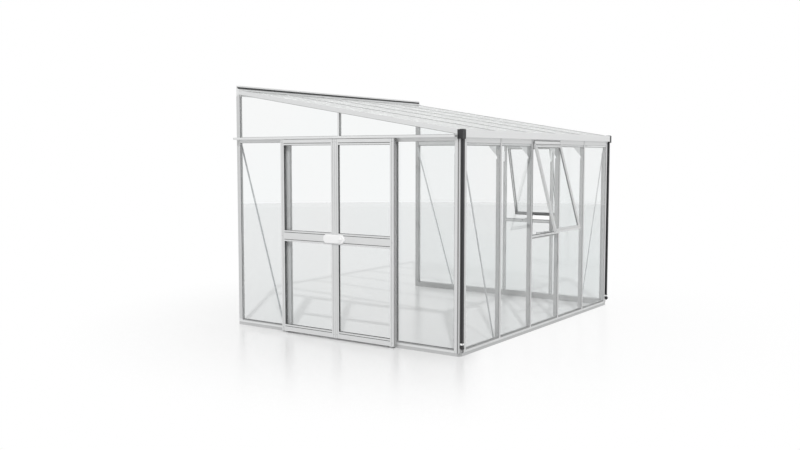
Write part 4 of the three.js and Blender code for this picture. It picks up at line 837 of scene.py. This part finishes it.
for side, low in (("left", SEAM + HALF_GAP), ("right", SEAM - HALF_GAP - LEAF_WIDTH)):
    body = "door_" + side
    high = low + LEAF_WIDTH
    first, last = low + LEAF_STILE, high - LEAF_STILE
    seals, groove_shades_across, groove_shades_upright, beads, brushes, screws = Mesh(), Mesh(), Mesh(), Mesh(), Mesh(), Mesh()
    for bottom, top in LEAF_SIGHT:
        opening = rectangle(first, last, bottom, top)
        seals.loop(opening, LEAF_SEAL, lambda u, v, height: (LEAF_PANE_FACE - height, u, v))
        # Dark strips in the grooves across the leaf: painted shade
        for z in (bottom - BEAD_WIDTH - GROOVE, top + BEAD_WIDTH):
            groove_shades_across.box(
                (LEAF_FRONT + ACROSS_INSET, GROOVE_SHADE_BACK), (first + 0.2, last - 0.2),
                (z + 0.1, z + GROOVE - 0.1), 0.3,
            )
    # Pale strips in the upright grooves: painted shade
    for y in (first - BEAD_WIDTH - GROOVE, last + BEAD_WIDTH):
        groove_shades_upright.box(
            (LEAF_FRONT + UPRIGHT_INSET, GROOVE_SHADE_BACK), (y + 0.1, y + GROOVE - 0.1),
            (LEAF_LOW + 0.5, LEAF_HIGH - 0.5), 0.3,
        )
    groove_shades_across.make("groove_shade_across_leaf_" + side, RUBBER, body, "black_plastic")
    groove_shades_upright.make("groove_shade_upright_leaf_" + side, PALE_RUBBER, body, "black_plastic")
    whole = rectangle(first, last, LEAF_SIGHT[0][0], LEAF_SIGHT[1][1])
    beads.loop(whole, BEAD_SECTION, lambda u, v, height: (LEAF_PANE_BACK + height, u, v))
    seals.make("seals_leaf_" + side, RUBBER, body, "black_plastic")
    beads.make("beads_leaf_" + side, BEAD, body, "aluminium_frame")
    inner, outer, away = (low, high, 1) if side == "left" else (high, low, -1)
    brushes.box(BRUSH_DEPTH, [outer - away * shift for shift in JAMB_BRUSH], BRUSH_HEIGHTS, 2)
    brushes.box(BRUSH_DEPTH, (low + TOP_BRUSH_INSET, high - TOP_BRUSH_INSET), TOP_BRUSH_HEIGHTS, 2)
    brushes.box(SEAM_BRUSH_DEPTH, [inner - away * shift for shift in SEAM_BRUSH], BRUSH_HEIGHTS, 0.3)
    brushes.make("brushes_leaf_" + side, BRUSH, body, "black_plastic")
    edge_seal = Mesh()
    edge_seal.box(EDGE_SEAL_DEPTH, [outer - away * shift for shift in EDGE_SEAL], BRUSH_HEIGHTS, 0.4)
    edge_seal.make("edge_seal_leaf_" + side, MID_RUBBER, body, "black_plastic")
    for y in (low + SCREW_INSET, high - SCREW_INSET):
        for z in SCREW_HEIGHTS:
            screws.screw((LEAF_FRONT, y, z), (-1, 0, 0), LEAF_SCREW)
    screws.make("screws_leaf_" + side, BOLT, body, "steel")

# Lock

def pill(inset):
    """The outline of the housing: round at the knob, with two rounded corners at the other end."""
    corner_radius, end_radius = LOCK_CORNER_RADIUS - inset, LOCK_END_RADIUS - inset
    points = []
    for y, z, radius, first in (
        (LOCK_END, LOCK_Z - LOCK_CORNER_RISE, corner_radius, -90),
        (LOCK_END, LOCK_Z + LOCK_CORNER_RISE, corner_radius, 0),
        (KNOB_Y, LOCK_Z, end_radius, 90),
        (KNOB_Y, LOCK_Z, end_radius, 180),
    ):
        for step in range(13):
            angle = math.radians(first + 90 * step / 12)
            points.append((y + radius * math.cos(angle), z + radius * math.sin(angle)))
    return points


shell = Mesh()
edges = [(1.2, 0), (0, 1.2)]
for k in range(9):
    angle = math.radians(90 * k / 8)
    height = LOCK_RISE - LOCK_EDGE + LOCK_EDGE * math.sin(angle)
    edges.append((LOCK_EDGE * (1 - math.cos(angle)), height))
shell.rings([[(LOCK_BACK - height, y, z) for y, z in pill(inset)] for inset, height in edges])
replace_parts(shell.make("lock_shell", WHITE, "door_left", "white_plastic"), "lock_body")

knob = Mesh()
knob.turned((LOCK_FACE - 0.1, KNOB_Y, LOCK_Z), (-1, 0, 0), KNOB_PROFILE, 48)
grip = []
for inset, height in ((0, 10), (0, 14), (1.0, 15.5), (2.6, 16.2)):
    tip, tip_half = 17 - inset, 2.4 - inset * 0.4
    shoulder, half = 15 - inset, 4.5 - inset
    grip.append([(LOCK_FACE - height, KNOB_Y + a, LOCK_Z + b) for a, b in (
        (-tip, -tip_half), (-shoulder, -half), (shoulder, -half), (tip, -tip_half),
        (tip, tip_half), (shoulder, half), (-shoulder, half), (-tip, tip_half),
    )])
knob.rings(grip)
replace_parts(knob.make("lock_turn", WHITE, "lock_knob", "white_plastic"), "lock_knob")

lock_screws = Mesh()
for y in LOCK_SCREWS:
    lock_screws.screw((LOCK_FACE, y, LOCK_Z), (-1, 0, 0), 3.4)
lock_screws.make("lock_screws", WHITE, "door_left", "white_plastic")

# Windows

def tilted(y, z, angle):
    """A point turned about the X axis."""
    return y * math.cos(angle) + z * math.sin(angle), -y * math.sin(angle) + z * math.cos(angle)


def sash_turn(point):
    y, z = tilted(point[1], point[2], OPEN)
    return (point[0], y - HINGE_OUT, z + HINGE_Z)


def to_front(point):
    return (grid(FRONT_WINDOW) + point[0], point[1], point[2])


def to_far(point):
    return (at_far(point[1]), grid(FAR_WINDOW) + point[0], point[2])


SASH_BEAD = [(-7.7, 0.1), (3.2, 0.1), (3.2, 3.6), (1.0, 7.4), (-7.7, 7.4)]
NOSE = BAY / 2 - FLANGE_HALF - 1
for name, to_wall in (("front", to_front), ("far", to_far)):
    def turn(point, to_wall=to_wall):
        return to_wall(sash_turn(point))

    sash = name + "_window"
    opening = rectangle(*SASH_SIGHT)
    seal = Mesh(turn)
    seal.loop(opening, SEAL, lambda u, v, height: (u, -1 - height, v))
    seal.make("seals_sash_" + name, RUBBER, sash, "black_plastic")
    # The sash beads use the dark bead metal: painted shade
    bead = Mesh(turn)
    bead.loop(opening, SASH_BEAD, lambda u, v, height: (u, 3 + height, v))
    bead.make("beads_sash_" + name, SHADED_BEAD, sash, "aluminium_frame")
    head = Mesh(turn)
    head.box((-SASH_HALF + 11, SASH_HALF - 11), HINGE_SEAL_DEPTH, HINGE_SEAL_HEIGHTS, 0.3)
    head.make("hinge_seal_" + name, RUBBER, sash, "black_plastic")
    # A black strip on the hinge bar paints the shadow line along its top
    hinge_shadow = Mesh(to_wall)
    hinge_shadow.box((-SASH_HALF + 10, SASH_HALF - 10), (-14.4, 0.2 - FLANGE), HINGE_SHADOW_HEIGHTS, 0.6)
    hinge_shadow.make("hinge_shadow_strip_" + name, RUBBER, "frame", "black_plastic")
    sides = Mesh(to_wall)
    for side in (-1, 1):
        inner, flange = side * (SASH_HALF + 1.5), side * (BAY / 2 - FLANGE_HALF)
        sides.box((inner, flange - side * 0.1), (-1.4, FLANGE), (SILL_TOP + 1, WINDOW_HEAD), 0.6)
    side_material = RUBBER if name == "front" else PALE_RUBBER
    sides.make("window_side_gaskets_" + name, side_material, "frame", "black_plastic")
    line = Mesh(to_wall)
    line.box((-NOSE, NOSE), (-5, 14), (SILL_TOP - 3, SILL_TOP + 1.4), 0.35)
    line.make("sill_line_" + name, RUBBER, "frame", "black_plastic")
    # A thin grey strip along the foot of the sill's face paints the shade under its nose
    shade = Mesh(to_wall)
    shade.box((-NOSE, NOSE), (-4.6, -4), (SILL_BOTTOM + 1, SILL_BOTTOM + 14), 0.25)
    shade.make("sill_shade_strip_" + name, MID_RUBBER, "frame", "black_plastic")
    draught = Mesh(turn)
    for x in (-SASH_HALF + 9, SASH_HALF - 9):
        draught.box((x - 3, x + 3), STRIP_DEPTH, SIDE_STRIP_HEIGHTS, 1.2)
    draught.box((-SASH_HALF + 12, SASH_HALF - 12), STRIP_DEPTH, FOOT_STRIP_HEIGHTS, 1.2)
    draught.make("draught_strip_" + name, RUBBER, sash, "black_plastic")
    fixings = Mesh(turn)
    for x in (-SASH_HALF + 17, SASH_HALF - 17):
        for z in SASH_SCREWS:
            fixings.screw((x, SASH_LIP, z), (0, -1, 0), 3.4)
    fixings.screw((22, 20, -970), (1, 0, 0), 4.0)
    fixings.make("screws_sash_" + name, BOLT, sash, "steel")
    ends = Mesh(to_wall)
    for side in (-1, 1):
        x = side * (SASH_HALF - 10)
        ends.turned((x, -HINGE_OUT, HINGE_Z), (side, 0, 0), HINGE_END_PROFILE, 14)
    for x in HEAD_SCREWS:
        ends.screw((x, -1, HEAD_SCREW_Z), (0, -1, 0), 3.4)
    for x in SILL_SCREWS:
        ends.screw((x, -4, SILL_SCREW_Z), (0, -1, 0), 3.2)
    ends.make("fixings_window_" + name, BOLT, "frame", "steel")

# Pegs along the stays, a washer at their eye and a knob at their free end
for name, to_wall in (("front", to_front), ("far", to_far)):
    def stay_turn(point, to_wall=to_wall):
        y, z = tilted(point[1], point[2], STAY_TILT)
        return to_wall((point[0], y + STAY_EYE_Y, z + STAY_EYE_Z))

    pegs = Mesh(stay_turn)
    for y in STAY_PEGS:
        pegs.turned((STAY_SIDE, y, 0), (1, 0, 0), PEG_PROFILE, 12)
    pegs.turned((EYE_SIDE, 0, 0), (1, 0, 0), EYE_PROFILE, 16)
    pegs.turned((STAY_MIDDLE, STAY_END, 0), (0, 1, 0), END_PROFILE, 18)
    pegs.make("stay_pegs_" + name, BLACK, name + "_stay", "black_plastic", smooth=True)

# Roof

def on_slope(point):
    x, y, z = point
    return (x, y * math.cos(TURN) - z * math.sin(TURN), EAVE + y * math.sin(TURN) + z * math.cos(TURN))


BAR_RUN = (ROOF_LOW + 1, ROOF_HIGH - 1)
STRIP_HEIGHTS = (PANEL_TOP, CAP_BOTTOM + 0.9)
strips = Mesh(on_slope)
for i in FRONT_POSTS:
    for side in (-1, 1):
        edge_x = grid(i) + side * CAP_HALF
        strips.box((edge_x - side * STRIP_IN, edge_x + side * STRIP_OUT), BAR_RUN, STRIP_HEIGHTS, 0.8)
for at in (at_door, at_far):
    strips.box([at(x) for x in VERGE_STRIP], BAR_RUN, STRIP_HEIGHTS, 0.8)
strips.make("roof_glazing_strips", PALE_RUBBER, "frame", "black_plastic")

closures = Mesh(on_slope)
rafter_sides = [grid(i) + side * RAFTER_WEB_HALF for i in FRONT_POSTS for side in (-1, 1)]
webs = [at_door(VERGE_WEB), *rafter_sides, at_far(VERGE_WEB)]
for i in range(BAYS):
    x0, x1 = webs[2 * i] + 0.6, webs[2 * i + 1] - 0.6
    closures.box((x0, x1), (ROOF_LOW - 1.6, ROOF_LOW - 0.1), CLOSURE_HEIGHTS, 0.4)
    closures.box((x0, x1), (ROOF_LOW - 1.0, ROOF_LOW + 22), (PANEL_TOP + 0.1, PANEL_TOP + 1.5), 0.4)
closures.make("roof_sheet_closures", BEAD, "frame", "aluminium_frame")

cap_screws = Mesh(on_slope)
cap_rows = [(grid(i), 5.2) for i in FRONT_POSTS]
cap_rows += [(at(VERGE_SCREWS), 4.2) for at in (at_door, at_far)]
for x, size in cap_rows:
    for y in CAP_SCREWS:
        cap_screws.screw((x, y, CAP_TOP), (0, 0, 1), size)
cap_screws.make("roof_cap_screws", BOLT, "frame", "steel")

# Thin grey strips under the lower edges of the verges paint the shade there
verge_shade_strips = Mesh(on_slope)
for at in (at_door, at_far):
    verge_shade_strips.box((at(-0.9), at(2.6)), (ROOF_LOW + 4, ROOF_HIGH - 40), (-4.6, -0.2), 0.5)
verge_shade_strips.make("verge_edge_shade_strips", MID_RUBBER, "frame", "black_plastic")

# Black seal in the groove of the wall plate, with a loose end that curls up at the door gable
# The profile holds (y, height); the path holds (x, rise, share of the profile's size)
WALL_SEAL_Y, WALL_SEAL_Z = 2927, 2693
seal = Mesh()
profile = [
    (2931.0, -8.3), (2926.6, -8.3), (2924.4, -5.2), (2924.0, 0), (2924.4, 5.2), (2926.6, 8.3), (2931.0, 8.3),
]
path = [(LENGTH - 4, 0.0, 1.0)]
path += [(LENGTH * k / 12, 0.0, 1.0) for k in range(11, 0, -1)]
path += [(4, 0.0, 1.0), (-2, 0.6, 0.92), (-7, 3.0, 0.8), (-11, 7.2, 0.62), (-13, 11.6, 0.4)]
seal.rings([
    [(x, WALL_SEAL_Y + (y - WALL_SEAL_Y) * share, WALL_SEAL_Z + rise + h * share) for y, h in profile]
    for x, rise, share in path
])
seal.make("wall_seal", RUBBER, "frame", "black_plastic")

# Door track and the bolts of the frame

plugs = Mesh()
for width in TRACK_PLUGS:
    plugs.box((TRACK_OUT + 0.4, -0.5), width, (TRACK_BOTTOM + 0.4, TRACK_TOP - 0.4), 1.2)
plugs.make("track_end_plugs", MID_RUBBER, "frame", "black_plastic")

bolts = Mesh()
for i in FRONT_POSTS:
    middle = WINDOW_BOLT if i in (WINDOW_BAY, WINDOW_BAY + 1) else MIDDLE_BOLT
    for z in (*LOW_BOLTS, middle, HIGH_BOLT):
        for side in (-1, 1):
            bolts.bolt((grid(i) + side * WEB_HALF, POST_BOLT_DEPTH, z), (side, 0, 0), POST_BOLT)
    # Knee plate
    for y, z in (
        (34, EAVE_RAIL_BOTTOM - 30), (34, EAVE_RAIL_BOTTOM - 96),
        (118, slope_height(118) + 8), (192, slope_height(192) + 8),
    ):
        bolts.bolt((grid(i) - PLATE_FACE, y, z), (-1, 0, 0), POST_BOLT)
for k in GABLE_POSTS:
    for z in (*LOW_BOLTS, WINDOW_BOLT, HIGH_BOLT):
        for side in (-1, 1):
            bolts.bolt((at_far(POST_BOLT_DEPTH), grid(k) + side * WEB_HALF, z), (0, side, 0), POST_BOLT)
for y in JAMBS:
    for z in (LOW_BOLTS[1], MIDDLE_BOLT, HIGH_BOLT):
        for side in (-1, 1):
            bolts.bolt((POST_BOLT_DEPTH, y + side * JAMB_HALF, z), (0, side, 0), POST_BOLT)
# Ends of the braces
for at in (at_door, at_far):
    for x, z in zip(FRONT_BRACE_ENDS, (BRACE_HIGH, BRACE_LOW)):
        bolts.bolt((at(x), BRACE_FACE, z), (0, 1, 0), POST_BOLT)
for at, inward in ((at_door, 1), (at_far, -1)):
    for y, z in zip(GABLE_BRACE_ENDS, (BRACE_HIGH, BRACE_LOW)):
        bolts.bolt((at(BRACE_FACE), y, z), (inward, 0, 0), POST_BOLT)
# Base frame to the posts and the ground
for i in FRONT_POSTS:
    for side in (-1, 1):
        bolts.bolt((grid(i) + side * BASE_BOLT_ASIDE, BAR_DEPTH, BASE_BOLT_Z), (0, 1, 0), BASE_BOLT)
for at, inward in ((at_door, 1), (at_far, -1)):
    for y in GABLE_BASE_BOLTS:
        bolts.bolt((at(BAR_DEPTH), y, BASE_BOLT_Z), (inward, 0, 0), BASE_BOLT)
bolts.make("frame_bolts", BOLT, "frame", "steel")

# White clamp ring at the foot of each downpipe, and the clips that hold the pipes
rings, clips = Mesh(), Mesh()
for x in DOWNPIPES:
    rings.sleeve(x, PIPE_MIDDLE, RING_PROFILE, 2.5)
    clips.sleeve(x, PIPE_MIDDLE, FOOT_CLIP_PROFILE, 2.0)
    for z in PIPE_CLIPS:
        clips.box((x - 13.4, x + 13.4), (-14.4, 13.9), (z, z + 14), 2.0)
rings.make("downpipe_rings", WHITE, "frame", "white_plastic")
clips.make("downpipe_clips", BLACK, "frame", "black_plastic")

# Floor, light and camera

FLOOR_RADIUS, FLOOR_SIDES = 25.5, 96
FLOOR_GAP = 0.0005
FADE_START, FADE_END = 2.0, 4.7
SIDE_WAY = (0.513, -0.858, 0)
SIDE_START, SIDE_END, SIDE_SHARE = 0.10, 0.42, 0.8
FLOOR_TONE, SEEN_FLOOR_TONE = (0.79, 0.795, 0.797, 1), (0.93, 0.93, 0.93, 1)
WORLD_STRENGTH = 0.71
SUN_HEIGHT, SUN_SPREAD, SUN_STRENGTH = 41.5, 1.8, 1.22
VIEW_HEADING, VIEW_PITCH = 0.607362, -0.0790715
VIEW_PLACE = (-7264.99, -4342.42, 1945.93)
SENSOR_WIDTH = 36
FOCAL_PIXELS, PICTURE_WIDTH = 890.479, 800


def make_floor():
    data = bpy.data.meshes.new("floor")
    angles = [2 * math.pi * i / FLOOR_SIDES for i in range(FLOOR_SIDES)]
    rim = [(FLOOR_RADIUS * math.cos(angle), FLOOR_RADIUS * math.sin(angle), 0) for angle in angles]
    data.from_pydata(rim, [], [tuple(range(FLOOR_SIDES))])
    floor = bpy.data.objects.new("floor", data)
    bpy.context.scene.collection.objects.link(floor)
    floor.location.z = cad_low.z - FLOOR_GAP
    made = Shader("floor")
    made.set(Roughness=0.22, Specular_IOR_Level=0.3)
    seen = any_ray(made.tree, "Is Camera Ray")
    made.color(made.mix(FLOOR_TONE, SEEN_FLOOR_TONE, seen))
    # The floor turns into the white background with the distance from the greenhouse,
    # and sooner before the eave side, where the white glow is painted light over the floor's shading and the
    # greenhouse's shadow
    length = made.node("ShaderNodeVectorMath", [(0, made.coordinates)], operation="LENGTH")
    side = made.map_range(made.along(SIDE_WAY), SIDE_START, SIDE_END, 0.0, SIDE_SHARE, "SMOOTHSTEP")
    fade = made.map_range(length.outputs["Value"], FADE_START, FADE_END, side, 1.0, "SMOOTHSTEP")
    white = made.node("ShaderNodeEmission")
    blend_surfaces(made.tree, made.math("MULTIPLY", fade, seen), made.shader, white, made.output)
    data.materials.append(made.material)
    floor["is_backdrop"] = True


def make_world():
    world = bpy.data.worlds.new("studio")
    bpy.context.scene.world = world
    world.use_nodes = True
    tree = world.node_tree
    light = tree.nodes["Background"]
    seen = tree.nodes.new("ShaderNodeBackground")
    for background, strength in ((light, WORLD_STRENGTH), (seen, 1.0)):
        background.inputs["Color"].default_value = (1, 1, 1, 1)
        background.inputs["Strength"].default_value = strength
    share = any_ray(tree, "Is Camera Ray", "Is Glossy Ray", "Is Transmission Ray")
    blend_surfaces(tree, share, light, seen, tree.nodes["World Output"])


def aim(thing, heading, pitch):
    """Points a lamp or a camera along a heading, at a pitch over the level."""
    level = math.cos(pitch)
    forward = Vector((math.cos(heading) * level, math.sin(heading) * level, math.sin(pitch)))
    thing.rotation_euler = forward.to_track_quat("-Z", "Y").to_euler()


make_floor()
make_world()

sun = bpy.data.objects.new("key", bpy.data.lights.new("key", "SUN"))
bpy.context.scene.collection.objects.link(sun)
sun.data.angle = math.radians(SUN_SPREAD)
sun.data.energy = SUN_STRENGTH
aim(sun, VIEW_HEADING, -math.radians(SUN_HEIGHT))

camera = bpy.data.objects.new("camera", bpy.data.cameras.new("camera"))
bpy.context.scene.collection.objects.link(camera)
camera.data.sensor_width = SENSOR_WIDTH
camera.data.lens = SENSOR_WIDTH * FOCAL_PIXELS / PICTURE_WIDTH
camera.data.clip_start = 0.1
camera.data.clip_end = 200
camera.location = place(VIEW_PLACE)
aim(camera, VIEW_HEADING, VIEW_PITCH)
bpy.context.scene.camera = camera

bpy.context.scene.view_settings.view_transform = "Standard"

low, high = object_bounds()
